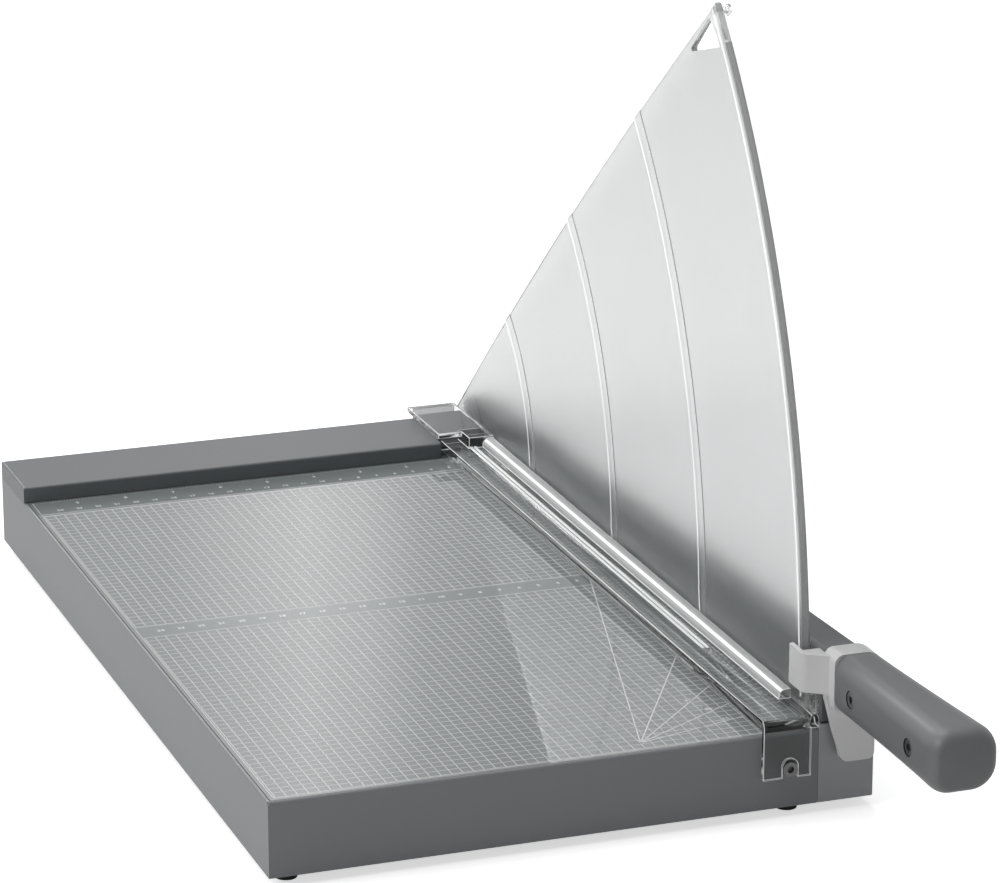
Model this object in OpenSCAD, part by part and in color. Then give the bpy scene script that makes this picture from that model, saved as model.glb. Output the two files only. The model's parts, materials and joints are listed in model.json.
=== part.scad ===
// Lever paper trimmer: a sheet steel table with a back fence, a clear clamp strip with a
// finger guard along the cut edge, and a lever arm that carries the moving knife.
// Inside the modules, x is counted from the cut line to the right, y from the table's
// front wall to the back and z from the table top upwards. placed() moves all of it to
// the frame of the finished part, whose origin is below the middle of its outer box.

/* [Table] */
// Width of the table from its left wall to the cut line
table_w = 254.8; // [200:0.1:400]
// Depth of the table from its front wall to its back wall
table_d = 478; // [420:1:600]
// Height of the base from its lower edge to the table top
base_h = 35.1; // [32:0.1:60]
// Thickness of the folded sheet steel
sheet_t = 1.5; // [1:0.1:1.8]
// Radius of the folded outer edges
fold_r = 1.2; // [0.4:0.1:1.4]
// Width of the lips that are folded in below
lip_w = 18; // [16:1:26]
// Thickness of the printed work plate
plate_t = 1.2; // [0.8:0.1:2]
// Groove round the work plate
groove_w = 0.3; // [0.1:0.1:0.8]

/* [Back fence] */
// Depth of the fence from front to back
fence_d = 48; // [42:1:60]
// Height of the fence above the table
fence_h = 8.2; // [6:0.1:9]
// Distance from the fence's right end to the cut line
fence_gap = 0.8; // [0.5:0.1:1]
// Width of the recess that takes the clear strip, from the cut line
recess_w = 28.5; // [28:0.5:32]
// Depth of that recess
recess_d = 7.5; // [7:0.5:10]
// Number of fence screws
fence_screw_count = 3; // [2:1:4]
// Distance from the outer fence screws to the ends of the fence
fence_screw_inset = 36; // [34:1:50]

/* [Cutting edge] */
// Thickness of the lower knife
bed_t = 4; // [3:0.5:5]
// Height of the lower knife
bed_h = 16; // [14:0.5:18]
// Distance from the front wall to the lower knife
bed_start = 2; // [2:0.5:6]
// Width of the steel bar below the cut edge
bar_w = 20; // [18:0.5:24]
// Height of that bar
bar_h = 20; // [19:0.5:22]
// Number of screws that hold the lower knife
bed_screw_count = 5; // [3:1:7]
// Depth of these screws below the table top
bed_screw_z = 9; // [8:0.5:10]
// Length of these screws
bed_screw_len = 15; // [10:1:18]

/* [Side rail] */
// Distance from the cut line to the rail's outer face
side_w = 27.8; // [27:0.1:29]
// Width of the slot that the moving knife drops into
slot_w = 3.4; // [3:0.1:4]
// Distance from the cut line to the seam in the front
seam_x = 1; // [0.6:0.1:1.4]
// Height of the rail above the table top
rail_rise = 2.3; // [1.5:0.1:3]
// Wall of the rail
rail_wall = 2; // [1.5:0.1:2.4]
// Thickness of the rail's end caps
cap_t = 2.5; // [2:0.1:2.8]
// Length of the front cap's plug inside the rail
plug_len = 7; // [4:0.5:12]

/* [Cross members] */
// Width of each cross member
member_w = 30; // [24:1:40]
// Distance from the front wall to the middle of the front member
member_front_y = 75; // [65:1:110]
// Distance from the back wall to the middle of the rear member
member_rear_y = 98; // [96:1:130]
// Thickness of the end plate towards the rail
member_end_t = 3; // [2:0.5:4]

/* [Feet and bumper] */
// Radius of a rubber foot
foot_r = 5.25; // [4.5:0.25:7]
// Height of a rubber foot
foot_h = 5; // [3:0.5:12]
// Distance from the left wall to the left feet
foot_inset = 11.3; // [9:0.1:12]
// Distance from the cut line to the right feet
foot_cut_inset = 9; // [8:0.5:14]
// Distance from the front and back walls to the feet
foot_wall_inset = 12; // [9:0.5:12]
// Radius of the rubber plug that the arm lands on
bumper_r = 4.5; // [4:0.5:6]
// Distance from the front wall to that plug
bumper_y = 60; // [40:1:90]

/* [Pivot] */
// Distance from the back wall to the pivot's axis
pivot_back = 20; // [19:0.5:22]
// Height of the pivot's axis above the table top
pivot_z = 5; // [4.5:0.1:5.5]
// Radius of the pivot bolt
bolt_r = 5; // [4:0.1:5.5]
// Radius of the bolt's threaded end
thread_r = 4; // [3:0.1:4.5]
// Radius of the bolt's head
bolt_head_r = 7; // [6.5:0.1:7.5]
// Height of the bolt's head
bolt_head_t = 3.5; // [2.5:0.1:4]
// Wall of the bronze bush
bush_wall = 2; // [1.5:0.1:2.5]
// Outer radius of a disc spring
disc_r = 9; // [8:0.1:10]
// Height of one disc spring
disc_h = 1; // [0.8:0.1:1.2]
// Radius of the bracket's cheek
cheek_r = 13; // [12:0.1:13.4]
// Radius of the nut over its corners
nut_r = 7; // [6.5:0.1:7.5]
// Height of the nut
nut_t = 3.4; // [3:0.1:3.4]

/* [Arm] */
// Width of the arm
arm_w = 17.15; // [16:0.05:17.3]
// Height of the arm's top above the table top, over the front wall
arm_front_top = 37.9; // [36.5:0.1:38.4]
// Height of the arm's top above the table top, at its rear end
arm_rear_top = 20.4; // [19.8:0.1:21]
// Gap between the rail and the arm's underside
arm_gap = 1.2; // [0.8:0.1:2]
// Radius of the arm's upper left edge
arm_round = 3; // [1.5:0.1:4]
// Radius of the arm's upper right edge
arm_round_right = 1.5; // [0.8:0.1:3]
// Radius of the round boss at the pivot
boss_r = 15.5; // [14.5:0.1:15.8]

/* [Knife] */
// Thickness of the moving knife
knife_t = 2; // [1.6:0.1:2.4]
// Side gap between the two knives
knife_gap = 0.15; // [0.1:0.01:0.3]
// Distance from the front wall to the moving knife
knife_start = 3; // [3:0.5:5]
// Height of the knife's back edge above the table top, at its front end
knife_front_top = 17; // [15:0.5:18]
// Height of the knife's back edge above the table top, at its rear end
knife_rear_top = 14; // [13:0.5:16]
// Depth of the cutting edge below the table top, at its front end
knife_front_dip = 8; // [6:0.5:10]
// Depth of the cutting edge below the table top, at its rear end
knife_rear_dip = 3; // [2:0.5:4]
// Number of screws that hold the knife
knife_screw_count = 5; // [3:1:7]

/* [Clear strip] */
// Gap between the table and the strip, which takes the paper
paper_gap = 2.4; // [2:0.1:4]
// Travel of the strip when it is pressed down
travel = 1.4; // [1:0.1:1.8]
// Thickness of the strip's flange
flange_t = 5.2; // [4:0.1:6]
// Distance from the cut line to the flange's left edge
flange_w = 26.5; // [25:0.1:27.5]
// Width of the ridge along the guard
ridge_w = 5.8; // [4.5:0.1:7]
// Height of the ridge above the flange
ridge_h = 4.6; // [3:0.1:6]
// Distance from the front wall to the ridge
ridge_start = 22; // [14:1:40]
// Distance from the cut line to the left edge of the block over the fence
block_w = 30; // [29.5:0.1:34]
// Thickness of that block
block_t = 2.8; // [2:0.1:4]
// Distance from the cut line to the right edge of the tab at each end
tab_inset = 4; // [3:0.5:6]
// Height of the tab below the table top
tab_drop = 20; // [20:0.5:24]
// Thickness of the tab
tab_t = 2.5; // [2:0.1:3]
// Gap between the tab and the wall
tab_gap = 1; // [0.5:0.1:1.5]
// Radius of the bend above the front tab
bend_r = 3; // [1:0.1:3.8]

/* [Guard] */
// Thickness of the clear guard
guard_t = 3; // [2:0.1:3.4]
// Distance from the cut line to the guard
guard_gap = 0.4; // [0.3:0.05:0.8]
// Distance from the front wall to the guard's rim, at the height of the pivot
guard_front = 7.5; // [7:0.1:8]
// Angle of the guard's top corner above the table
guard_angle = 41.7; // [41.7:0.1:50]
// Distance that the guard reaches behind the pivot
guard_tail = 18; // [14:0.5:20]
// Bow of the guard's top edge
guard_bow = 5.6; // [0.5:0.1:12]
// Width of the thick rim
rim_w = 6.5; // [4:0.1:9]
// Extra thickness of the rim
rim_t = 0.8; // [0.3:0.1:1]
// Width of the raised rings
rib_w = 8.3; // [6:0.1:10]
// Height of the raised rings
rib_h = 0.5; // [0.2:0.1:0.8]
// Radius of the stop pin
pin_r = 1.6; // [1.2:0.1:2]
// Radius of the pin's head
pin_head_r = 2.8; // [2:0.1:3]

/* [Collar and handle] */
// Width of the collar
collar_w = 24; // [23:0.1:25]
// Thickness of the collar along the arm
collar_t = 12; // [9:0.5:16]
// Height of the collar's top above the table top
collar_top = 38.7; // [38.5:0.1:41]
// Height of the handle's underside above the table top
handle_low = 11; // [9:0.5:13]
// Thickness of the tongue that hangs from the collar
tongue_t = 4; // [3:0.1:5]
// Length of the handle
handle_len = 104; // [90:1:130]
// Width of the handle at its end
handle_end_w = 31; // [28:0.1:34]
// Distance from the collar to the first handle screw
handle_screw_1 = 16.7; // [12:0.1:24]
// Distance from the tang's end to the second handle screw
handle_screw_2 = 11.4; // [8:0.1:30]
// Width of the arm's tang inside the handle
tang_w = 8; // [6:0.5:9]
// Height of the tang
tang_h = 14; // [10:0.5:16]
// Distance from the tang's end to the end of the handle
tang_end = 16; // [10:1:20]

/* [Hidden] */

$fn = 64;
// Sides of the large arcs of the guard
arc_fn = 360;
// Overrun of every cut past the face that it opens
over = 1;
// How far a piece that is added to a body reaches into it
bite = 0.5;
// Radius of an edge that is only broken
edge_r = 0.25;
// Thickness of a slice that a hull joins to the next one
slice_t = 0.1;

// Colours
paint_grey = [0.52, 0.55, 0.57];
plate_grey = [0.56, 0.60, 0.60];
arm_grey = [0.42, 0.45, 0.47];
grip_grey = [0.38, 0.40, 0.42];
steel = [0.75, 0.76, 0.78];
dark_steel = [0.35, 0.36, 0.38];
bronze = [0.72, 0.55, 0.32];
rubber = [0.10, 0.10, 0.11];
clear = [0.85, 0.90, 0.92, 0.40];
white = [0.92, 0.92, 0.92];

// Clearances: round a screw, a pressed bush, a running shaft and a part that slides past
fit_gap = 0.1;
press_gap = 0.02;
run_gap = 0.05;
slide_gap = 0.1;
side_gap = 0.25;
seam_gap = 0.2;

// Small screws: shank, head radius and head height
screw_r = 1.9;
screw_head_r = 3.5;
screw_head_t = 2.4;
fence_boss_r = 4;
socket_share = 0.5;
socket_depth_share = 0.6;

// Heights below and above the table top
top_sheet_z = -plate_t;
bar_top_z = top_sheet_z - sheet_t;
bar_low_z = bar_top_z - bar_h;
lip_top_z = sheet_t - base_h;

// Rail
rail_x0 = slot_w;
rail_y0 = cap_t;
rail_y1 = table_d - cap_t;
rail_top_in = rail_rise - rail_wall;
rail_low_in = rail_wall - base_h;
rail_inner_x1 = side_w - rail_wall;

// Pivot, arm and everything on the pivot's axis
pivot_y = table_d - pivot_back;
arm_x0 = knife_gap + knife_t;
arm_x1 = arm_x0 + arm_w;
arm_low_z = rail_rise + arm_gap;
cheek_x0 = arm_x1 + slide_gap + 2 * disc_h;
bush_r = bolt_r + bush_wall;
bolt_pocket_gap = 0.4;
bolt_pocket_t = bolt_head_t + 2 * side_gap;
pocket_gap = 1.5;
pocket_r = boss_r + pocket_gap;
bracket_drop = 28;
bracket_screw_r = 2.5;
bracket_screw_head_r = 4.5;
bracket_screw_z = -14;
bracket_screw_pitch = 14;
disc_t_share = 0.7;

// Rear end of the arm: a rounded corner behind the boss
corner_r = 6;
corner_share = 0.55;
corner_y = pivot_y + boss_r * corner_share;
arm_rear_y = corner_y + corner_r;
arm_slope = (arm_front_top - arm_rear_top) / arm_rear_y;

// Knife
knife_tail = 18;
knife_end = pivot_y - knife_tail;
knife_screw_z = 10;
knife_screw_inset = 22;
knife_head_depth = 4;

// Lower knife
bed_end = table_d - fence_d - groove_w;
bed_screw_inset = 25;
bed_screw_head_r = 3.8;

// Wells of the two lift springs
well_r = 3;
well_wall = 1;
well_x = -bed_t - well_wall - well_r;
well_z = -12;
well_front_y = 40;
well_rear_inset = 78;
spring_r = 2.2;
spring_wire_r = 0.35;
spring_turns = 7;
spring_ring = 14;

// Guide screws: their heads run in the tabs' slots
tab_overhang = 0.5;
tab_x0 = -flange_w - tab_overhang;
tab_x1 = -tab_inset;
guide_offset = 1.6;
guide_x = (tab_x0 + tab_x1) / 2 + guide_offset;
guide_z = -16;
guide_r = 3.5;
guide_shank_r = 2;
guide_shank_len = 16;
guide_proud = 0.3;
guide_head_t = tab_gap + tab_t + guide_proud;
slot_r = guide_r + slide_gap;

// Clear strip and guard
flange_low = paper_gap;
flange_top = flange_low + flange_t;
ridge_top = flange_top + ridge_h;
guard_x1 = -guard_gap;
guard_x0 = guard_x1 - guard_t;
fence_front_y = table_d - fence_d;
block_low = fence_h + paper_gap;
block_top = block_low + block_t;
web_x0 = -17;
web_reach = 12;
web_front_y = fence_front_y - web_reach;
web_end_gap = 1.5;
web_end_y = fence_front_y + recess_d - web_end_gap;
rib_line_x = [-13.5, -15.8];
rib_line_w = 1;
rib_line_h = 0.6;
rib_line_start = 95;
strip_front_y = -tab_gap - tab_t;
strip_rear_y = table_d + tab_gap + tab_t;
ridge_r_share = 0.75;

// Guard outline, in the plane of the cut
guard_r = pivot_y - guard_front;
guard_top_y = pivot_y - guard_r * cos(guard_angle);
guard_top_z = pivot_z + guard_r * sin(guard_angle);
guard_tail_y = pivot_y + guard_tail;
guard_tail_z = block_top;
rib_shares = [0.2235, 0.483, 0.737];
bow_steps = 16;
window_edge = 3.4;
window_h = 17;
window_round = 1.2;
window_top_share = 0.67;
window_reach_share = 1.5;
pin_inset = 3.6;
pin_edge = 2.2;
pin_reach = 4;
pin_head_t = 1.2;
pin_angle = guard_angle - asin(pin_edge / guard_r);
pin_y = pivot_y - (guard_r - pin_inset) * cos(pin_angle);
pin_z = pivot_z + (guard_r - pin_inset) * sin(pin_angle);

// Collar: body, hook round the guard and tongue
collar_inset = 0.35;
collar_x0 = arm_x0 + collar_inset;
collar_x1 = collar_x0 + collar_w;
collar_round = 4.5;
collar_round_right = 9;
hook_low = 18.3;
hook_top_inset = 1.5;
hook_high = arm_front_top - hook_top_inset;
hook_x0 = -7.6;
hook_wall = 2.4;
hook_web = 5.5;
hook_depth = 16;
hook_root_y = -6;
hook_corner_y = -1.2;
hook_round = 4.5;
hook_round_in = 0.8;
hook_root_x = 7.4;
tongue_y = -7;
tongue_low = -14.3;
tongue_out = 1.7;
tongue_in = 1.5;
tongue_knee = [4, 16.6];
tongue_heel = [7.2, 6.3];
tongue_foot = 11.7;
tongue_r_left = 4;
tongue_r_right = 3;
tongue_arc_start = 200;

// Handle
handle_x0 = collar_x0;
handle_y0 = -collar_t;
handle_y1 = handle_y0 - handle_len;
handle_flare = 0.5;
handle_root_w = collar_w + handle_flare;
handle_end_rise = 1;
handle_end_over = 0.4;
handle_cap = 4;
handle_cap_in = 3.5;
handle_round_left = 5;
handle_round = 9.5;
grip_screw_r = 2.4;
grip_head_r = 3.7;
grip_head_t = 3;
grip_recess_r = 4.1;
grip_recess_depth = 3.4;
grip_screw_z = 23.9;
grip_screw_len = 14;
tang_inset = 6.85;
tang_x0 = arm_x0 + tang_inset;
tang_len = handle_len - tang_end;
tang_z0 = grip_screw_z - tang_h / 2;

// Feet and bumper stems
stem_r = 2.9;
stem_gap = 0.1;
barb_r = 3.6;
barb_h = 2;
foot_taper = 0.4;
bumper_stem_r = 2.4;
bumper_gap = 0.3;
bumper_t = arm_gap - bumper_gap;

// Cross members
member_top_z = bar_top_z;
member_bar_x = -bed_t - bar_w - fit_gap;
member_screw_x = -bed_t - bar_w / 2;
member_screw_len = 12;
rail_screw_rise = 5.1;
rail_screw_z = rail_low_in + rail_screw_rise;

// Outer box, from which the frame's origin is taken
box_x0 = -table_w;
box_x1 = max(handle_x0 + handle_end_w, side_w + nut_t);
box_y0 = handle_y1;
box_y1 = table_d + guide_head_t;
box_z0 = -base_h - foot_h;

module placed() {
    translate([-(box_x0 + box_x1) / 2, -(box_y0 + box_y1) / 2, -box_z0]) children();
}

// A box from one corner to the opposite one
module span(a, b) {
    translate(a) cube(b - a);
}

// Round rods along each axis, from a starting point
module rod_x(p, r, len) {
    translate(p) rotate([0, 90, 0]) cylinder(h = len, r = r);
}

module rod_y(p, r, len) {
    translate(p) rotate([-90, 0, 0]) cylinder(h = len, r = r);
}

module rod_z(p, r, len) {
    translate(p) cylinder(h = len, r = r);
}

// A side view, drawn as (y, z), made solid along x
module side_plate(x0, t) {
    translate([x0, 0, 0]) rotate([90, 0, 90]) linear_extrude(t) children();
}

// A front view, drawn as (x, z), made solid along y
module front_plate(y0, t) {
    translate([0, y0 + t, 0]) rotate([90, 0, 0]) linear_extrude(t) children();
}

// Points of an arc about a centre
function arc(c, r, a0, a1, steps) = [
    for (i = [0:steps]) c + r * [cos(a0 + (a1 - a0) * i / steps), sin(a0 + (a1 - a0) * i / steps)]
];

// A rectangle whose corners have their own radii: lower left, lower right, upper right, upper left
module rounded(lo, hi, r, steps = 7) {
    polygon(concat(
        arc([lo.x + r[0], lo.y + r[0]], r[0], 180, 270, steps),
        arc([hi.x - r[1], lo.y + r[1]], r[1], 270, 360, steps),
        arc([hi.x - r[2], hi.y - r[2]], r[2], 0, 90, steps),
        arc([lo.x + r[3], hi.y - r[3]], r[3], 90, 180, steps)));
}

// A wall seen on its end, with its outer upper edge rounded by the fold
module fold_profile(h) {
    intersection() {
        translate([0, -h]) square([sheet_t, h]);
        union() {
            translate([0, -h]) square([sheet_t, h - fold_r]);
            translate([fold_r, -h]) square([sheet_t, h]);
            translate([fold_r, -fold_r]) circle(fold_r);
        }
    }
}

// A pan head screw along +z, with the underside of its head at the origin
module pan_screw(r, head_r, head_t, len) {
    difference() {
        union() {
            translate([0, 0, -head_t]) cylinder(h = head_t, r = head_r);
            cylinder(h = len, r = r);
        }
        translate([0, 0, -head_t - over])
            cylinder(h = over + head_t * socket_depth_share, r = head_r * socket_share, $fn = 6);
    }
}

// A countersunk screw along +z, with the face of its head at the origin
module flush_screw(r, head_r, len) {
    difference() {
        union() {
            cylinder(h = head_r - r, r1 = head_r, r2 = r);
            cylinder(h = len, r = r);
        }
        translate([0, 0, -over])
            cylinder(h = over + (head_r - r) * socket_depth_share, r = r, $fn = 6);
    }
}

// The hole for such a screw
module flush_hole(r, head_r, len) {
    translate([0, 0, -over]) cylinder(h = over, r = head_r + fit_gap);
    cylinder(h = head_r - r, r1 = head_r + fit_gap, r2 = r + fit_gap);
    cylinder(h = len, r = r + fit_gap);
}

// Evenly spaced places from a to b
function places(a, b, count) = [for (i = [0:count - 1]) a + (b - a) * i / (count - 1)];

foot_x = [foot_inset - table_w, -foot_cut_inset];
foot_y = [foot_wall_inset, table_d - foot_wall_inset];
fence_screw_x = places(fence_screw_inset - table_w, -fence_screw_inset, fence_screw_count);
fence_screw_y = table_d - fence_d / 2;
bed_screw_y = places(bed_start + bed_screw_inset, bed_end - bed_screw_inset / 2, bed_screw_count);
knife_screw_y = places(knife_start + knife_screw_inset, knife_end - knife_screw_inset,
    knife_screw_count);
member_y = [member_front_y, table_d - member_rear_y];
bracket_screw_y = [pivot_y - bracket_screw_pitch / 2, pivot_y + bracket_screw_pitch / 2];
well_y = [well_front_y, table_d - well_rear_inset];
grip_screw_y = [handle_y0 - handle_screw_1, handle_y0 - tang_len + handle_screw_2];

// Folded tray: top sheet, left, front and back walls, and the lips below
module base_shell() {
    wall_len = table_w + seam_x - seam_gap;
    color(paint_grey) difference() {
        union() {
            side_plate(-table_w, wall_len) fold_profile(base_h);
            side_plate(-table_w, wall_len) translate([table_d, 0]) mirror([1, 0]) fold_profile(base_h);
            front_plate(0, table_d) translate([-table_w, 0]) fold_profile(base_h);
            span([-table_w, 0, bar_top_z], [-bed_t - groove_w, table_d, top_sheet_z]);
            span([-table_w, 0, -base_h], [-table_w + lip_w, table_d, lip_top_z]);
            span([-table_w, 0, -base_h], [seam_x - seam_gap, lip_w, lip_top_z]);
            span([-table_w, table_d - lip_w, -base_h], [seam_x - seam_gap, table_d, lip_top_z]);
        }
        for (x = foot_x, y = foot_y)
            rod_z([x, y, -base_h - over], stem_r + stem_gap, sheet_t + 2 * over);
        for (y = well_y)
            rod_z([well_x, y, bar_top_z - over], well_r, sheet_t + 2 * over);
        for (x = fence_screw_x)
            rod_z([x, fence_screw_y, bar_top_z - over], screw_r + fit_gap, sheet_t + 2 * over);
        for (y = [0, table_d - sheet_t])
            rod_y([guide_x, y - over, guide_z], guide_shank_r + fit_gap, sheet_t + 2 * over);
        // Round corner where the two folded edges meet at the front left
        translate([-table_w, 0, -fold_r]) corner_cut();
    }
}

// What the rounded upper corner takes off
module corner_cut() {
    difference() {
        translate([-over, -over, 0]) cube([over + fold_r, over + fold_r, fold_r + over]);
        translate([fold_r, fold_r, 0]) sphere(fold_r);
    }
}

// Printed work plate, let into the tray
module table_plate() {
    color(plate_grey) difference() {
        span([-table_w + sheet_t + groove_w, sheet_t + groove_w, top_sheet_z],
            [-bed_t - groove_w, fence_front_y - groove_w, 0]);
        for (y = well_y)
            rod_z([well_x, y, top_sheet_z - over], well_r, plate_t + 2 * over);
    }
}

// Raised fence: an upturned channel with bosses for its screws and a recess for the strip
module back_fence() {
    x0 = -table_w;
    x1 = -fence_gap;
    lower_x0 = x0 + sheet_t;
    color(paint_grey) difference() {
        intersection() {
            union() {
                span([lower_x0, fence_front_y, top_sheet_z], [x1, table_d - sheet_t, 0]);
                side_plate(x0, x1 - x0) rounded([fence_front_y, 0], [table_d, fence_h],
                    [edge_r, edge_r, fold_r, fold_r]);
            }
            front_plate(fence_front_y - over, fence_d + 2 * over)
                rounded([x0, top_sheet_z], [x1, fence_h], [edge_r, edge_r, fold_r, fold_r]);
        }
        difference() {
            span([x0 + 2 * sheet_t, fence_front_y + sheet_t, top_sheet_z - over],
                [x1 - sheet_t, table_d - 2 * sheet_t, fence_h - sheet_t]);
            span([-recess_w - sheet_t, fence_front_y, top_sheet_z - over],
                [0, fence_front_y + recess_d + sheet_t, fence_h]);
            for (x = fence_screw_x)
                rod_z([x, fence_screw_y, top_sheet_z], fence_boss_r, fence_h - top_sheet_z);
        }
        span([-recess_w, fence_front_y - over, top_sheet_z - over],
            [over, fence_front_y + recess_d, fence_h + over]);
        for (x = fence_screw_x)
            rod_z([x, fence_screw_y, top_sheet_z - over], screw_r + fit_gap,
                over + fence_h - top_sheet_z - 2 * sheet_t);
    }
}

module fence_screws() {
    color(steel) for (x = fence_screw_x)
        translate([x, fence_screw_y, bar_top_z])
            pan_screw(screw_r, screw_head_r, screw_head_t, sheet_t + fence_h - 2 * sheet_t);
}

// Bar below the cut edge, which carries the lower knife and both guide screws
module edge_bar() {
    x1 = -bed_t;
    color(dark_steel) difference() {
        span([x1 - bar_w, sheet_t, bar_low_z], [x1, table_d - sheet_t, bar_top_z]);
        for (y = bed_screw_y)
            rod_x([-bed_screw_len - over, y, -bed_screw_z], screw_r + fit_gap, bed_screw_len + over);
        for (y = well_y)
            rod_z([well_x, y, well_z], well_r, bar_top_z - well_z + over);
        rod_y([guide_x, sheet_t - over, guide_z], guide_shank_r + fit_gap, guide_shank_len + over);
        rod_y([guide_x, table_d - sheet_t - guide_shank_len, guide_z], guide_shank_r + fit_gap,
            guide_shank_len + over);
        for (y = member_y)
            rod_z([member_screw_x, y, bar_low_z - over], screw_r + fit_gap, member_screw_len + over);
    }
}

module bed_knife() {
    color(steel) difference() {
        span([-bed_t, bed_start, -bed_h], [0, bed_end, 0]);
        for (y = bed_screw_y)
            translate([0, y, -bed_screw_z]) rotate([0, -90, 0])
                flush_hole(screw_r, bed_screw_head_r, bed_t + over);
    }
}

module bed_knife_screws() {
    color(dark_steel) for (y = bed_screw_y)
        translate([0, y, -bed_screw_z]) rotate([0, -90, 0])
            flush_screw(screw_r, bed_screw_head_r, bed_screw_len);
}

// Box rail beside the cut, open above its rear end for the arm's boss and the bracket
module side_rail() {
    color(paint_grey) difference() {
        span([rail_x0, rail_y0, -base_h], [side_w, rail_y1, rail_rise]);
        span([rail_x0 + rail_wall, rail_y0 - over, rail_low_in],
            [rail_inner_x1, rail_y1 + over, rail_top_in]);
        span([rail_x0 - over, pivot_y - pocket_r, rail_top_in - over],
            [rail_inner_x1, rail_y1 + over, rail_rise + over]);
        rod_x([rail_x0 - over, pivot_y, pivot_z], pocket_r, over + rail_wall + over);
        rod_x([rail_inner_x1 - over, pivot_y, pivot_z], thread_r + fit_gap, rail_wall + 2 * over);
        rod_z([(arm_x0 + arm_x1) / 2, bumper_y, rail_top_in - over], bumper_stem_r + stem_gap,
            rail_wall + 2 * over);
        for (y = bracket_screw_y)
            translate([side_w, y, bracket_screw_z]) rotate([0, -90, 0])
                flush_hole(bracket_screw_r, bracket_screw_head_r, rail_wall + over);
        for (y = member_y)
            rod_x([rail_x0 - over, y, rail_screw_z], screw_r + fit_gap, rail_wall + 2 * over);
    }
}

// End cap with a plug that goes into the rail
module rail_cap(y0, plug_y0, plug_y1, plug_x1, plug_top) {
    color(paint_grey) union() {
        front_plate(y0, cap_t) rounded([seam_x, -base_h], [side_w, rail_rise],
            [edge_r, fold_r / 2, fold_r / 2, edge_r]);
        span([rail_x0 + rail_wall + fit_gap, plug_y0, rail_low_in + fit_gap],
            [plug_x1, plug_y1, plug_top]);
    }
}

module rail_front_cap() {
    rail_cap(0, cap_t, cap_t + plug_len, rail_inner_x1 - fit_gap, rail_top_in - fit_gap);
}

module rail_rear_cap() {
    rail_cap(rail_y1, pivot_y + cheek_r + fit_gap, rail_y1, rail_inner_x1 - fit_gap,
        bracket_screw_z);
}

// Pressed channel under the table: it rests on the left lip and reaches the rail
module cross_member(y) {
    x0 = -table_w + sheet_t;
    color(paint_grey) difference() {
        union() {
            span([x0, y - member_w / 2, lip_top_z], [member_bar_x, y + member_w / 2, member_top_z]);
            span([member_bar_x - sheet_t, y - member_w / 2, lip_top_z],
                [rail_x0, y + member_w / 2, bar_low_z]);
        }
        span([x0 - over, y - member_w / 2 + sheet_t, lip_top_z - over],
            [member_bar_x - sheet_t, y + member_w / 2 - sheet_t, member_top_z - sheet_t]);
        span([x0 - over, y - member_w / 2 + sheet_t, lip_top_z - over],
            [rail_x0 - member_end_t, y + member_w / 2 - sheet_t, bar_low_z - sheet_t]);
        rod_z([member_screw_x, y, bar_low_z - sheet_t - over], screw_r + fit_gap, sheet_t + 2 * over);
        rod_x([rail_x0 - member_end_t - over, y, rail_screw_z], screw_r + fit_gap,
            member_end_t + 2 * over);
    }
}

module cross_member_screws() {
    color(steel) for (y = member_y)
        translate([member_screw_x, y, bar_low_z - sheet_t])
            pan_screw(screw_r, screw_head_r, screw_head_t, member_screw_len);
}

module rail_screws() {
    color(steel) for (y = member_y)
        translate([rail_x0 + rail_wall, y, rail_screw_z]) rotate([0, -90, 0])
            pan_screw(screw_r, screw_head_r, screw_head_t, rail_wall + member_end_t);
}

// Push-in foot: a tapered pad with a barbed stem through the lip
module foot(x, y) {
    color(rubber) translate([x, y, -base_h]) union() {
        translate([0, 0, -foot_h]) cylinder(h = foot_h, r1 = foot_r - foot_taper, r2 = foot_r);
        cylinder(h = sheet_t, r = stem_r);
        translate([0, 0, sheet_t]) cylinder(h = barb_h, r1 = barb_r, r2 = stem_r - foot_taper);
    }
}

module arm_bumper() {
    color(rubber) translate([(arm_x0 + arm_x1) / 2, bumper_y, rail_rise]) union() {
        cylinder(h = bumper_t, r1 = bumper_r, r2 = bumper_r - foot_taper);
        translate([0, 0, -rail_wall]) cylinder(h = rail_wall, r = bumper_stem_r);
        translate([0, 0, -rail_wall - barb_h])
            cylinder(h = barb_h, r1 = bumper_stem_r - foot_taper, r2 = bumper_stem_r + foot_taper);
    }
}

// Steel cheek that carries the pivot bolt, screwed inside the rail's outer wall
module pivot_bracket() {
    color(dark_steel) difference() {
        union() {
            intersection() {
                rod_x([cheek_x0, pivot_y, pivot_z], cheek_r, side_w - cheek_x0);
                span([cheek_x0, pivot_y - cheek_r, rail_rise],
                    [side_w, pivot_y + cheek_r, pivot_z + cheek_r + over]);
            }
            span([cheek_x0, pivot_y - cheek_r, -bracket_drop],
                [rail_inner_x1, pivot_y + cheek_r, rail_rise]);
            intersection() {
                rod_x([cheek_x0, pivot_y, pivot_z], cheek_r, rail_inner_x1 - cheek_x0);
                span([cheek_x0, pivot_y - cheek_r, 0],
                    [side_w, pivot_y + cheek_r, pivot_z + cheek_r + over]);
            }
        }
        rod_x([cheek_x0 - over, pivot_y, pivot_z], thread_r + fit_gap, side_w - cheek_x0 + 2 * over);
        for (y = bracket_screw_y)
            rod_x([cheek_x0 - over, y, bracket_screw_z], bracket_screw_r + fit_gap,
                side_w - cheek_x0 + over);
    }
}

module bracket_screws() {
    color(steel) for (y = bracket_screw_y)
        translate([side_w, y, bracket_screw_z]) rotate([0, -90, 0])
            flush_screw(bracket_screw_r, bracket_screw_head_r, side_w - cheek_x0);
}

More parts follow.
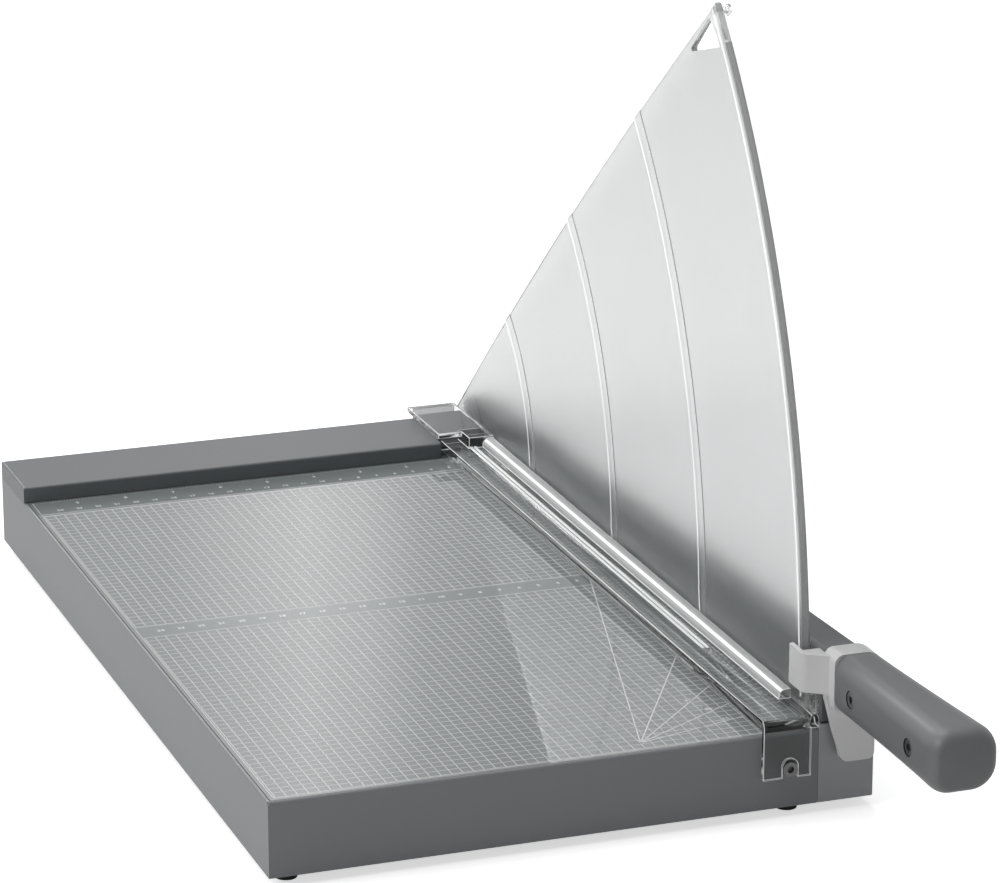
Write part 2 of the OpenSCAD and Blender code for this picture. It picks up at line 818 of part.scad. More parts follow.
// Shoulder bolt: low head in the arm's pocket, shoulder in the bush, thread in the bracket
module pivot_bolt() {
    x0 = arm_x0 + side_gap;
    color(steel) difference() {
        union() {
            rod_x([x0, pivot_y, pivot_z], bolt_head_r, bolt_head_t);
            rod_x([x0, pivot_y, pivot_z], bolt_r, cheek_x0 - x0);
            rod_x([x0, pivot_y, pivot_z], thread_r, side_w + nut_t - x0);
        }
        translate([x0 - over, pivot_y, pivot_z]) rotate([0, 90, 0])
            cylinder(h = over + bolt_head_t * socket_depth_share, r = bolt_head_r * socket_share,
                $fn = 6);
    }
}

// Two disc springs, back to back, between the arm and the bracket
module disc_springs() {
    disc_t = disc_h * disc_t_share;
    bore_r = bolt_r + fit_gap;
    color(steel) translate([cheek_x0 - 2 * disc_h, pivot_y, pivot_z]) rotate([0, 90, 0]) {
        rotate_extrude() polygon([[bore_r, disc_h - disc_t], [disc_r, 0], [disc_r, disc_t],
            [bore_r, disc_h]]);
        rotate_extrude() polygon([[bore_r, disc_h], [disc_r, 2 * disc_h - disc_t],
            [disc_r, 2 * disc_h], [bore_r, disc_h + disc_t]]);
    }
}

module pivot_nut() {
    color(steel) translate([side_w, pivot_y, pivot_z]) rotate([0, 90, 0]) difference() {
        cylinder(h = nut_t, r = nut_r, $fn = 6);
        translate([0, 0, -over]) cylinder(h = nut_t + 2 * over, r = thread_r + fit_gap);
    }
}

// Guide screw along +y: its head is the round runner in the tab's slot
module guide_screw() {
    difference() {
        union() {
            rod_y([0, -guide_head_t, 0], guide_r, guide_head_t);
            rod_y([0, 0, 0], guide_shank_r, guide_shank_len);
        }
        translate([0, -guide_head_t - over, 0]) rotate([-90, 0, 0])
            cylinder(h = over + guide_head_t * socket_depth_share, r = guide_r * socket_share,
                $fn = 6);
    }
}

module guide_screw_front() {
    color(steel) translate([guide_x, 0, guide_z]) guide_screw();
}

module guide_screw_rear() {
    color(steel) translate([guide_x, table_d, guide_z]) mirror([0, 1, 0]) guide_screw();
}

// Coil of round wire: rings of points along a helix, joined into one closed tube
module coil(r, wire, turns, low, high) {
    count = turns * spring_ring;
    sides = 6;
    rise = (high - low - 2 * wire) / count;
    points = [
        for (i = [0:count], j = [0:sides - 1])
            let (a = i * 360 / spring_ring, b = j * 360 / sides)
            [(r + wire * cos(b)) * cos(a), (r + wire * cos(b)) * sin(a),
                low + wire + i * rise + wire * sin(b)]
    ];
    walls = [
        for (i = [0:count - 1], j = [0:sides - 1])
            let (k = (j + 1) % sides)
            each [[i * sides + j, i * sides + k, (i + 1) * sides + k],
                [i * sides + j, (i + 1) * sides + k, (i + 1) * sides + j]]
    ];
    ends = [
        for (j = [1:sides - 2])
            each [[0, j + 1, j], [count * sides, count * sides + j, count * sides + j + 1]]
    ];
    polyhedron(points = points, faces = concat(walls, ends), convexity = turns);
}

module clamp_spring(y) {
    color(steel) translate([well_x, y, 0])
        coil(spring_r, spring_wire_r, spring_turns, well_z, flange_low);
}

// Tab at one end, with a slot that runs on the guide screw's head
module tab_outline(closed) {
    tab_low = -tab_drop;
    slot_top = guide_z + travel;
    slot_low = closed ? guide_z : tab_low - over - slot_r;
    difference() {
        translate([tab_x0, tab_low]) square([tab_x1 - tab_x0, flange_top - tab_low - edge_r]);
        translate([guide_x - slot_r, slot_low]) square([2 * slot_r, slot_top - slot_low]);
        translate([guide_x, slot_top]) circle(slot_r);
        translate([guide_x, slot_low]) circle(slot_r);
    }
}

// Ridge seen on its end: its left shoulder is round
module ridge_outline() {
    r = min(ridge_h, ridge_w) * ridge_r_share;
    rounded([guard_x0 - ridge_w, flange_top - bite], [guard_x0, ridge_top], [edge_r, edge_r, edge_r, r]);
}

// What the round bend above the front tab takes off
module bend_cut() {
    side_plate(tab_x0 - over, guard_x1 - tab_x0 + 2 * over) difference() {
        translate([strip_front_y - over, flange_top - bend_r]) square(bend_r + over);
        translate([strip_front_y + bend_r, flange_top - bend_r]) circle(bend_r);
    }
}

// Clear strip: flange, ridge, two thin ribs, a block over the fence and a tab at each end
module clamp_strip() {
    color(clear) difference() {
        strip_body();
        bend_cut();
    }
}

module strip_body() {
    union() {
        span([-flange_w, strip_front_y, flange_low], [guard_x1, web_end_y, flange_top]);
        front_plate(ridge_start, web_front_y - ridge_start) ridge_outline();
        for (x = rib_line_x)
            span([x - rib_line_w / 2, rib_line_start, flange_top - bite],
                [x + rib_line_w / 2, web_front_y, flange_top + rib_line_h]);
        span([web_x0, web_front_y, flange_top - bite], [guard_x0, web_end_y, block_top]);
        span([-block_w, fence_front_y, block_low], [guard_x0, strip_rear_y, block_top]);
        front_plate(strip_front_y, tab_t) tab_outline(false);
        front_plate(table_d + tab_gap, tab_t) tab_outline(true);
        span([tab_x0, table_d + tab_gap, flange_top - over], [tab_x1, strip_rear_y, block_top]);
    }
}

// Side view of the guard's whole sector: arc in front, bowed edge above
module guard_sector(r) {
    chord = [guard_tail_y - guard_top_y, guard_top_z - guard_tail_z];
    half = norm(chord) / 2;
    bow_r = (half * half + guard_bow * guard_bow) / (2 * guard_bow);
    mid = [(guard_tail_y + guard_top_y) / 2, (guard_tail_z + guard_top_z) / 2];
    out = [chord[1], chord[0]] / norm(chord);
    centre = mid - out * (bow_r - guard_bow);
    dir = atan2(out[1], out[0]);
    spread = asin(half / bow_r);
    intersection() {
        polygon(concat(
            arc(centre, bow_r, dir - spread, dir + spread, bow_steps),
            [[guard_top_y - guard_r, guard_top_z], [guard_top_y - guard_r, flange_top],
                [web_end_y, flange_top], [web_end_y, block_low], [guard_tail_y, block_low]]));
        translate([pivot_y, pivot_z]) circle(r, $fn = arc_fn);
    }
}

// Three-cornered window behind the rim, just below the top corner
module guard_window() {
    r1 = guard_r - rim_w - window_round;
    a0 = guard_angle - 2 * asin(window_h / 2 / r1);
    top_in = window_edge + window_round;
    corner = [pivot_y - r1 * cos(a0), pivot_z + r1 * sin(a0)];
    upper = [pivot_y - r1 * cos(guard_angle) + top_in * sin(guard_angle) * window_top_share,
        pivot_z + r1 * sin(guard_angle) - top_in];
    along = window_h * window_reach_share;
    offset(r = window_round, $fn = 16)
        polygon([corner, upper, [upper.x + along * cos(guard_angle), upper.y - along * sin(guard_angle)]]);
}

// Clear finger guard: a sector plate with a thick rim, three raised rings and a window
module guard_shield() {
    color(clear) difference() {
        union() {
            side_plate(guard_x0, guard_t) guard_sector(guard_r);
            side_plate(guard_x0 - rim_t, rim_t + bite) difference() {
                guard_sector(guard_r);
                translate([pivot_y, pivot_z]) circle(guard_r - rim_w, $fn = arc_fn);
                translate([0, -guard_r]) square([2 * guard_r, guard_r + ridge_top]);
            }
            for (share = rib_shares)
                side_plate(guard_x0 - rib_h, rib_h + bite) difference() {
                    guard_sector(guard_r * share + rib_w / 2);
                    translate([pivot_y, pivot_z]) circle(guard_r * share - rib_w / 2, $fn = arc_fn);
                    translate([0, -guard_r]) square([2 * guard_r, guard_r + ridge_top + over]);
                    translate([pivot_y, -guard_r]) square(2 * guard_r);
                }
        }
        side_plate(guard_x0 - over - rim_t, guard_t + rim_t + 2 * over) guard_window();
        rod_x([guard_x0 - rim_t - over, pin_y, pin_z], pin_r + press_gap, guard_t + rim_t + 2 * over);
    }
}

// Stop pin through the rim at the top corner; its head catches the rising arm
module stop_pin() {
    color(clear) union() {
        rod_x([guard_x0 - rim_t, pin_y, pin_z], pin_r, rim_t + guard_t + guard_gap + pin_reach);
        rod_x([pin_reach - pin_head_t, pin_y, pin_z], pin_head_r, pin_head_t);
    }
}

// Side view of the arm: a long taper that ends in the round boss at the pivot
module arm_side() {
    top_at_corner = arm_front_top - arm_slope * corner_y;
    union() {
        polygon([[0, arm_low_z], [pivot_y, arm_low_z], [corner_y + corner_r, pivot_z],
            [corner_y + corner_r, top_at_corner - corner_r], [corner_y, top_at_corner],
            [0, arm_front_top]]);
        translate([pivot_y, pivot_z]) circle(boss_r);
        translate([corner_y, top_at_corner - corner_r]) circle(corner_r);
    }
}

// Lever: a tapered bar with its tang, rounded upper edges and bores for all that it carries
module arm_lever() {
    tilt = atan(arm_slope);
    depth = arm_front_top + boss_r + pivot_y * arm_slope;
    color(arm_grey) difference() {
        union() {
            intersection() {
                side_plate(arm_x0, arm_w) arm_side();
                translate([0, 0, arm_front_top]) rotate([-tilt, 0, 0])
                    front_plate(-arm_front_top, arm_rear_y + 2 * arm_front_top)
                        rounded([arm_x0, -2 * depth], [arm_x1, 0],
                            [edge_r, edge_r, arm_round_right, arm_round]);
            }
            span([tang_x0, handle_y0 - tang_len, tang_z0], [tang_x0 + tang_w, over, tang_z0 + tang_h]);
        }
        rod_x([arm_x0 - over, pivot_y, pivot_z], bush_r, arm_w + 2 * over);
        rod_x([arm_x0 - over, pivot_y, pivot_z], bolt_head_r + bolt_pocket_gap, bolt_pocket_t + over);
        span([arm_x0 - over, -over, hook_low - fit_gap],
            [hook_root_x + fit_gap, hook_web + fit_gap, hook_high + fit_gap]);
        for (y = knife_screw_y) {
            rod_x([arm_x0 - over, y, knife_screw_z], screw_r + fit_gap, arm_w + 2 * over);
            rod_x([arm_x1 - knife_head_depth, y, knife_screw_z], screw_head_r + fit_gap,
                knife_head_depth + over);
        }
        for (y = grip_screw_y)
            rod_x([tang_x0 - over, y, grip_screw_z], grip_screw_r + fit_gap, tang_w + 2 * over);
    }
}

module pivot_bush() {
    x0 = arm_x0 + bolt_pocket_t;
    color(bronze) difference() {
        rod_x([x0, pivot_y, pivot_z], bush_r - press_gap, arm_x1 - x0);
        rod_x([x0 - over, pivot_y, pivot_z], bolt_r + run_gap, arm_w + 2 * over);
    }
}

module knife() {
    color(steel) difference() {
        side_plate(knife_gap, knife_t)
            polygon([[knife_start, -knife_front_dip], [knife_end, -knife_rear_dip],
                [knife_end, knife_rear_top], [knife_start, knife_front_top]]);
        for (y = knife_screw_y)
            rod_x([knife_gap - over, y, knife_screw_z], screw_r + fit_gap, knife_t + 2 * over);
        span([knife_gap - over, knife_start - over, hook_low - fit_gap],
            [arm_x0 + over, hook_web + fit_gap, hook_high]);
    }
}

// Screws from the arm's outer side into the knife
module knife_screws() {
    head_t = knife_head_depth - side_gap;
    x_seat = arm_x1 - knife_head_depth;
    color(dark_steel) for (y = knife_screw_y)
        translate([x_seat, y, knife_screw_z]) rotate([0, -90, 0])
            pan_screw(screw_r, screw_head_r, head_t, x_seat - knife_gap - side_gap);
}

// Plan of the hook that reaches round the guard's rim, drawn as (x, y)
// Its front leans back from the collar to a round corner at the left.
module hook_plan() {
    lean = atan2(hook_corner_y - hook_root_y, collar_x0 - hook_x0);
    centre = [hook_x0 + hook_round, hook_corner_y + hook_round];
    tip = [hook_x0 + hook_wall / 2, hook_depth - hook_wall / 2];
    difference() {
        polygon(concat(
            [[hook_root_x, hook_depth], tip + [hook_wall / 2, hook_wall / 2]],
            arc(tip, hook_wall / 2, 90, 180, 5),
            arc(centre, hook_round, 180, 270 - lean, 5),
            [[collar_x0, hook_root_y], [hook_root_x, hook_root_y]]));
        rounded([hook_x0 + hook_wall, hook_web], [hook_root_x + over, hook_depth + over],
            [hook_round_in, edge_r, edge_r, edge_r]);
    }
}

// Front view of the tongue, drawn as (x, z): its sides lean in towards a round foot
module tongue_outline() {
    left = collar_x0 - tongue_out;
    right = collar_x1 - tongue_in;
    low_left = [left, tongue_low];
    centre_left = [left + tongue_foot, tongue_low + tongue_r_left];
    centre_right = [right - tongue_r_right, tongue_low + tongue_r_right];
    polygon(concat(
        [[left, hook_low], low_left + tongue_knee, low_left + tongue_heel],
        arc(centre_left, tongue_r_left, tongue_arc_start, 270, 5),
        arc(centre_right, tongue_r_right, 270, 360, 5),
        [[right, hook_low]]));
}

// Collar between the arm and the handle, with the hook and the tongue
module collar() {
    color(white) difference() {
        union() {
            front_plate(-collar_t, collar_t) rounded([collar_x0, handle_low], [collar_x1, collar_top],
                [collar_round, collar_round_right, collar_round_right, collar_round]);
            front_plate(tongue_y, tongue_t) tongue_outline();
            translate([0, 0, hook_low]) linear_extrude(hook_high - hook_low) hook_plan();
            span([collar_x0, -over, hook_low], [hook_root_x, hook_web, hook_high]);
        }
        span([tang_x0 - fit_gap, -collar_t - over, tang_z0 - fit_gap],
            [tang_x0 + tang_w + fit_gap, hook_web + over, tang_z0 + tang_h + fit_gap]);
    }
}

// One slice of the handle, from its lower left to its upper right corner
module handle_slice(y, lo, hi, r_left, r_right) {
    front_plate(y, slice_t) rounded(lo, hi, [r_left, r_right, r_right, r_left]);
}

// Soft handle over the tang: it widens towards its end and closes in a rounded cap
module handle() {
    end_x1 = handle_x0 + handle_end_w;
    end_low = handle_low + handle_end_rise;
    end_high = collar_top + handle_end_over;
    color(grip_grey) difference() {
        hull() {
            handle_slice(handle_y0 - slice_t, [handle_x0, handle_low],
                [handle_x0 + handle_root_w, collar_top], handle_round_left, handle_round);
            handle_slice(handle_y1 + handle_cap, [handle_x0, end_low], [end_x1, end_high],
                handle_round_left, handle_round);
            handle_slice(handle_y1, [handle_x0 + handle_cap_in, end_low + handle_cap_in],
                [end_x1 - handle_cap_in, end_high - handle_cap_in],
                handle_round_left, handle_round - handle_cap_in);
        }
        span([tang_x0 - fit_gap, handle_y0 - tang_len - fit_gap, tang_z0 - fit_gap],
            [tang_x0 + tang_w + fit_gap, handle_y0 + over, tang_z0 + tang_h + fit_gap]);
        for (y = grip_screw_y) {
            rod_x([handle_x0 - over, y, grip_screw_z], grip_recess_r, over + grip_recess_depth);
            rod_x([handle_x0, y, grip_screw_z], grip_screw_r + fit_gap,
                grip_recess_depth + grip_screw_len + side_gap);
        }
    }
}

module handle_screws() {
    color(dark_steel) for (y = grip_screw_y)
        translate([handle_x0 + grip_recess_depth, y, grip_screw_z]) rotate([0, 90, 0])
            pan_screw(grip_screw_r, grip_head_r, grip_head_t, grip_screw_len);
}

placed() base_shell();
placed() table_plate();
placed() back_fence();
placed() fence_screws();
placed() edge_bar();
placed() bed_knife();
placed() bed_knife_screws();
placed() side_rail();
placed() rail_front_cap();
placed() rail_rear_cap();
placed() cross_member(member_y[0]);  // cross_member_front
placed() cross_member(member_y[1]);  // cross_member_rear
placed() cross_member_screws();
placed() rail_screws();
placed() foot(foot_x[0], foot_y[0]);  // foot_front_left
placed() foot(foot_x[1], foot_y[0]);  // foot_front_right
placed() foot(foot_x[0], foot_y[1]);  // foot_rear_left
placed() foot(foot_x[1], foot_y[1]);  // foot_rear_right
placed() arm_bumper();
placed() pivot_bracket();
placed() bracket_screws();
placed() pivot_bolt();
placed() disc_springs();
placed() pivot_nut();
placed() guide_screw_front();
placed() guide_screw_rear();
placed() clamp_spring(well_y[0]);  // clamp_spring_front
placed() clamp_spring(well_y[1]);  // clamp_spring_rear
placed() clamp_strip();
placed() guard_shield();
placed() stop_pin();
placed() arm_lever();
placed() pivot_bush();
placed() knife();
placed() knife_screws();
placed() collar();
placed() handle();
placed() handle_screws();
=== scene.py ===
# %% [markdown]
# A lever paper trimmer for A3 sheets, seen from its front left corner. The metal table, the
# rail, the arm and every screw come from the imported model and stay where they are. This script
# dresses them: it gives each piece its finish, prints the rulers and the grid on the table, and
# makes fuller surfaces for the moulded pieces, such as the clear guard, the collar and the soft
# handle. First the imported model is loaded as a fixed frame.

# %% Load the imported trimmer
import json
import math

import bmesh
import bpy
import numpy as np
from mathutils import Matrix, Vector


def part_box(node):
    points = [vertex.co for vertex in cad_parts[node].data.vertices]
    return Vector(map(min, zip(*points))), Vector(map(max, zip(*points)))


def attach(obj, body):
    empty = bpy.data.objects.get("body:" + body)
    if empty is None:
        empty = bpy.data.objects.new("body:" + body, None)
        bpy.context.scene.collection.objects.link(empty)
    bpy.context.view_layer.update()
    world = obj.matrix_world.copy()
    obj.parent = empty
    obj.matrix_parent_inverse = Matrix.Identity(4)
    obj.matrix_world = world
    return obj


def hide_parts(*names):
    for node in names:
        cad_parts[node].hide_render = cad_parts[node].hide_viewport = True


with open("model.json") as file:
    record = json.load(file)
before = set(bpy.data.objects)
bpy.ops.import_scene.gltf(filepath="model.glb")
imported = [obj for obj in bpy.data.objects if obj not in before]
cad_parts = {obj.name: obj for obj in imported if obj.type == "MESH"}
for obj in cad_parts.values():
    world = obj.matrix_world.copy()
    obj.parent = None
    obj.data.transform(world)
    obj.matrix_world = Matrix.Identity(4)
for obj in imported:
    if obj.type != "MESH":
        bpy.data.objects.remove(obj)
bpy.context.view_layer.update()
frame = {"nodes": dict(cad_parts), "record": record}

scene = bpy.context.scene
nodes = frame["nodes"]
MM = 0.001

# %% [markdown]
# All sizes are easier to read when they are counted from the places that matter to whoever
# cuts paper: x from the cut line, y from the front wall and z from the table top, in
# millimetres. The three zero points come from the boxes of the lower knife, the tray and the
# printed plate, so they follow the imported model. One helper turns such millimetres into
# metres of the frame, for a single point or for a whole array of them.

# %% Places counted from the cut line
CUT_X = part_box("bed_knife")[1].x
FRONT_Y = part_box("base_shell")[0].y
TABLE_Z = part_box("table_plate")[1].z
ZERO = np.array([CUT_X, FRONT_Y, TABLE_Z])


def at(x, y, z):
    """Metres in the frame: the zero point plus (x, y, z) millimetres, number by number."""
    x, y, z = np.broadcast_arrays(x, y, z)
    return ZERO + np.stack([x, y, z], axis=-1) * MM


def span_mm(name):
    """The box of a node, counted in millimetres from the cut line, front wall and table top."""
    low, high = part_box(name)
    return (np.array(low) - ZERO) / MM, (np.array(high) - ZERO) / MM


print("zero point", ZERO.round(4))

# %% [markdown]
# The camera stands in front of the left corner, a little under two metres away, and looks
# down by about 18 degrees. A long lens keeps the perspective as flat as in a catalogue
# picture. It could be aimed with a constraint, but two angles are simpler to change.

# %% Camera
CAMERA_PLACE = at(-753.9, -1683.8, 717.1)
CAMERA_TURN = math.radians(19.74)
CAMERA_TILT = math.radians(17.58)
LENS = 159.56

camera = bpy.data.objects.new("camera", bpy.data.cameras.new("camera"))
camera.data.sensor_width = 36
camera.data.lens = LENS
camera.data.clip_start, camera.data.clip_end = 0.05, 50
camera.location = CAMERA_PLACE
camera.rotation_euler = (math.pi / 2 - CAMERA_TILT, 0, -CAMERA_TURN)
scene.collection.objects.link(camera)
scene.camera = camera
scene.view_settings.view_transform = "Standard"

# %% [markdown]
# A material is a small network of nodes. One helper starts it and returns its shader, another
# adds a node with its links, so that every finish below can be written in a few lines. Colours
# are written as they look on a screen and turned into the linear values that the shader uses.

# %% Helpers for materials


def colour(level, tint=(0, 0, 0)):
    """Linear colour of a screen level from 0 to 255, with a small difference for each channel."""
    shown = (np.array([level, level, level]) + np.array(tint)) / 255
    linear = np.where(shown <= 0.04045, shown / 12.92, ((shown + 0.055) / 1.055) ** 2.4)
    return (*[float(c) for c in linear], 1.0)


def start_material(name, base, roughness, **sockets):
    """A material with one Principled shader, whose constant sockets are set by name."""
    material = bpy.data.materials.new(name)
    material.use_nodes = True
    shader = material.node_tree.nodes["Principled BSDF"]
    shader.inputs["Base Color"].default_value = base
    shader.inputs["Roughness"].default_value = roughness
    for label, value in sockets.items():
        shader.inputs[label.replace("_", " ")].default_value = value
    return material, shader


def add_node(material, kind, links=(), **values):
    """A node of that kind with its named sockets set; links are (socket, source output) pairs."""
    tree = material.node_tree
    node = tree.nodes.new(kind)
    for label, value in values.items():
        if label in node.inputs:
            node.inputs[label].default_value = value
        else:
            setattr(node, label, value)
    for socket, source in links:
        tree.links.new(source, node.inputs[socket])
    return node


def object_place(material):
    """The place on the piece, from its Object coordinates."""
    return add_node(material, "ShaderNodeTexCoord").outputs["Object"]


def fine_grain(material, shader, size, height, spread=(0.0, 0.0), stretch=None):
    """Bump from noise of the given grain size and height in metres, and a spread of roughness."""
    place = object_place(material)
    if stretch is not None:
        mapping = add_node(material, "ShaderNodeMapping", [("Vector", place)])
        mapping.inputs["Scale"].default_value = stretch
        place = mapping.outputs["Vector"]
    noise = add_node(material, "ShaderNodeTexNoise", [("Vector", place)],
                     Scale=1 / size, Detail=3.0)
    bump = add_node(material, "ShaderNodeBump", [("Height", noise.outputs["Fac"])],
                    Strength=1.0, Distance=height)
    material.node_tree.links.new(bump.outputs["Normal"], shader.inputs["Normal"])
    if spread[1] > spread[0]:
        ramp = add_node(material, "ShaderNodeMapRange", [("Value", noise.outputs["Fac"])])
        ramp.inputs["To Min"].default_value, ramp.inputs["To Max"].default_value = spread
        material.node_tree.links.new(ramp.outputs["Result"], shader.inputs["Roughness"])
    return noise


# %% [markdown]
# The tray and the fence are sheet steel with a satin powder coat. Powder flows into a very
# fine orange peel when it is baked, so the coat gets a low bump with waves of about one
# millimetre and a little variation in gloss. The rail has the same paint, a shade lighter,
# and the arm a darker one.

# %% Painted metal


def painted(name, base, rough=0.42):
    """Powder coat: orange peel as bump, and gloss that changes slightly from place to place."""
    material, shader = start_material(name, base, rough, Specular_IOR_Level=0.5)
    fine_grain(material, shader, 0.0011, 0.00002, (rough - 0.04, rough + 0.05))
    return material


tray_paint = painted("tray powder coat", colour(125, (-3, 0, 2)))
rail_paint = painted("rail powder coat", colour(156, (-3, 0, 2)))
arm_paint = painted("arm paint", colour(100, (-3, 0, 2)), 0.38)

# %% [markdown]
# The metals differ in how they were worked. The knives are ground along their length, which
# leaves long fine scratches; screws and springs are zinc plated; the steel bar and the socket
# screws inside are blackened; the pivot runs in a sintered bronze bush.

# %% Metals


def metal(name, base, rough, grain, stretch=None, height=0.000004):
    """Bare or plated metal, with its scratches drawn out along one axis by the stretch."""
    material, shader = start_material(name, base, rough, Metallic=1.0)
    fine_grain(material, shader, grain, height, (rough - 0.06, rough + 0.08), stretch)
    return material


ground_steel = metal("ground steel", colour(205), 0.26, 0.0006, (1, 0.02, 1))
zinc_steel = metal("zinc plate", colour(180, (0, 1, 3)), 0.32, 0.0015)
black_steel = metal("black oxide", colour(70), 0.40, 0.0010)
dull_zinc = metal("dull zinc screw", colour(120), 0.5, 0.0015)
worn_steel = metal("worn screw head", colour(128), 0.34, 0.0012)
bronze = metal("sintered bronze", colour(190, (10, -12, -60)), 0.42, 0.0004, height=0.00001)

# %% [markdown]
# Plastic and rubber: the feet and the bumper are matt black rubber, the collar is a satin
# white moulding, and the handle has a soft-touch grip with a fine leathery grain.

# %% Rubber, white plastic and soft grip
rubber, rubber_shader = start_material("black rubber", colour(38), 0.75)
fine_grain(rubber, rubber_shader, 0.0008, 0.00003, (0.68, 0.82))
white_plastic, white_shader = start_material("white satin plastic", colour(213), 0.30)
fine_grain(white_plastic, white_shader, 0.0020, 0.000012, (0.26, 0.35))
soft_grip, grip_shader = start_material("soft grip", colour(110, (-2, 0, 1)), 0.38)
fine_grain(soft_grip, grip_shader, 0.0007, 0.00002, (0.38, 0.47))

# %% [markdown]
# The work plate is a glossy printed sheet. Under its clear varnish the grey ground is dull,
# and the varnish on top mirrors the guard and the studio. A coat on a rough base gives both.
# The white ink of the grid lies under the same varnish, worn a little thinner here and there.

# %% Printed plate and its ink
plate_gloss, plate_shader = start_material(
    "varnished plate", colour(119, (-5, 1, 1)), 0.5, Specular_IOR_Level=0.3,
    Coat_Weight=1.0, Coat_Roughness=0.03, Coat_IOR=1.5)
fine_grain(plate_gloss, plate_shader, 0.004, 0.000003, (0.45, 0.55))

ink, ink_shader = start_material("white ink", colour(222), 0.5, Specular_IOR_Level=0.3,
                                 Coat_Weight=1.0, Coat_Roughness=0.03, Coat_IOR=1.5)
ink_noise = fine_grain(ink, ink_shader, 0.003, 0.000002)
ink_shade = add_node(ink, "ShaderNodeValToRGB", [("Fac", ink_noise.outputs["Fac"])])
ink_shade.color_ramp.elements[0].color = colour(213)
ink_shade.color_ramp.elements[1].color = colour(231)
ink.node_tree.links.new(ink_shade.outputs["Color"], ink_shader.inputs["Base Color"])

# %% [markdown]
# Clear plastic bends light at each face. The strip and the window's edge are polished; the guard's
# large faces are frosted, so what lies behind them is blurred, the more the farther away it is. The
# edges, the bands and the ridge's crest get a painted highlight: a white finish with a weak glow of
# its own. The outer edges of the bands, the rim and the ridge's front end get painted shade: a greyer
# finish. The flange has a lower index than real acrylic, so it mirrors and bends less and the grid
# below it stays clear.

# %% Clear plastic


def clear(name, level, rough, transmission=1.0, height=0.000004, ior=1.49):
    """Clear acrylic of a given tint and frosting, with faint flow marks from the mould."""
    material, shader = start_material(name, colour(level, (-2, 0, 0)), rough, IOR=ior,
                                      Transmission_Weight=transmission)
    fine_grain(material, shader, 0.02, height, (rough * 0.985, rough * 1.06))
    return material


clear_plastic = clear("clear polished plastic", 226, 0.03)
frosted_plastic = clear("frosted clear plastic", 225, 0.28, height=0.0000001)
milky_plastic = clear("scattering ridge", 242, 0.09, 0.5)
flange_plastic = clear("clear flange", 224, 0.04, ior=1.22)
smoky_plastic = clear("thick clear plastic", 172, 0.06)
# The next three finishes are painted highlights: near white, partly opaque, with a weak glow of their
# own.
edge_highlight_paint = clear("moulded edge with painted highlight", 254, 0.20, 0.35)
crest_highlight_paint = clear("crest with painted highlight", 254, 0.15, 0.35)
band_highlight_paint = clear("band edge with painted highlight", 254, 0.20, 0.35)
for painted_glow, strength in ((edge_highlight_paint, 0.12), (band_highlight_paint, 0.34), (crest_highlight_paint, 0.38)):
    edge_shader = painted_glow.node_tree.nodes["Principled BSDF"]
    edge_shader.inputs["Emission Color"].default_value = (1, 1, 1, 1)
    edge_shader.inputs["Emission Strength"].default_value = strength
# These two finishes are painted shade: greyer, less clear plastic for edges and ends that look dark.
band_shade_paint = clear("band edge with painted shade", 205, 0.12, 0.5)
edge_shade_paint = clear("moulded edge with painted shade", 170, 0.12, 0.9)

# %% [markdown]
# Every node of the imported model takes the finish of its slot in the record. Each node keeps its own
# mesh, so only the material slots are filled here. The guide screws are dull and the handle's screws
# worn, so these three nodes then get another finish.

# %% Finish of the imported nodes
FINISH = {"base_paint": tray_paint, "rail_paint": rail_paint, "printed_plate": plate_gloss,
          "arm_paint": arm_paint, "ground_steel": ground_steel, "blackened_steel": black_steel,
          "zinc_steel": zinc_steel, "bronze": bronze, "rubber": rubber,
          "clear_plastic": clear_plastic, "white_plastic": white_plastic, "soft_grip": soft_grip}

for part in frame["record"]["subparts"]:
    mesh = nodes[part["node"]].data
    mesh.materials.clear()
    mesh.materials.append(FINISH[part["material_slot"]])
for name, finish in (("guide_screw_front", dull_zinc), ("guide_screw_rear", dull_zinc),
                     ("handle_screws", worn_steel)):
    nodes[name].data.materials[0] = finish

# %% [markdown]
# The fence's front, that the sheets are pushed against, is painted a shade darker than the paint
# above it: painted shade for the weaker light that falls on it. It could be a second piece, but it is
# the same bent channel, so its paint is mixed by which way the face looks: a face that looks to the
# front takes the darker colour.

# %% Painted shade on the fence's front
fence_paint_and_shade, fence_shader = start_material("fence paint with painted shade", colour(118, (-3, 0, 2)), 0.42)
fine_grain(fence_paint_and_shade, fence_shader, 0.0011, 0.00002, (0.38, 0.47))
facing = add_node(fence_paint_and_shade, "ShaderNodeSeparateXYZ",
                  [("Vector", add_node(fence_paint_and_shade, "ShaderNodeNewGeometry").outputs["Normal"])])
front = add_node(fence_paint_and_shade, "ShaderNodeMapRange", [("Value", facing.outputs["Y"])])
front.inputs["From Min"].default_value, front.inputs["From Max"].default_value = -0.95, -0.75
mixed = add_node(fence_paint_and_shade, "ShaderNodeMix", [("Factor", front.outputs["Result"])],
                 data_type="RGBA")
# The darker colour, for faces that look to the front, is painted shade; the other one is the paint
# itself.
mixed.inputs[6].default_value = colour(95, (-4, 0, 3))
mixed.inputs[7].default_value = colour(104, (-3, 0, 2))
fence_paint_and_shade.node_tree.links.new(mixed.outputs[2], fence_shader.inputs["Base Color"])
nodes["back_fence"].data.materials[0] = fence_paint_and_shade

# %% [markdown]
# Most new pieces are skins over a grid of points. Two helpers do the dull work: one joins
# the points of a grid with four-sided faces, the other closes a tube of rings at both ends.
# A third turns points and faces into a piece that rides on its body, with smooth shading
# that stops at the sharp edges.

# %% Helpers for meshes
SHARP = math.radians(32)


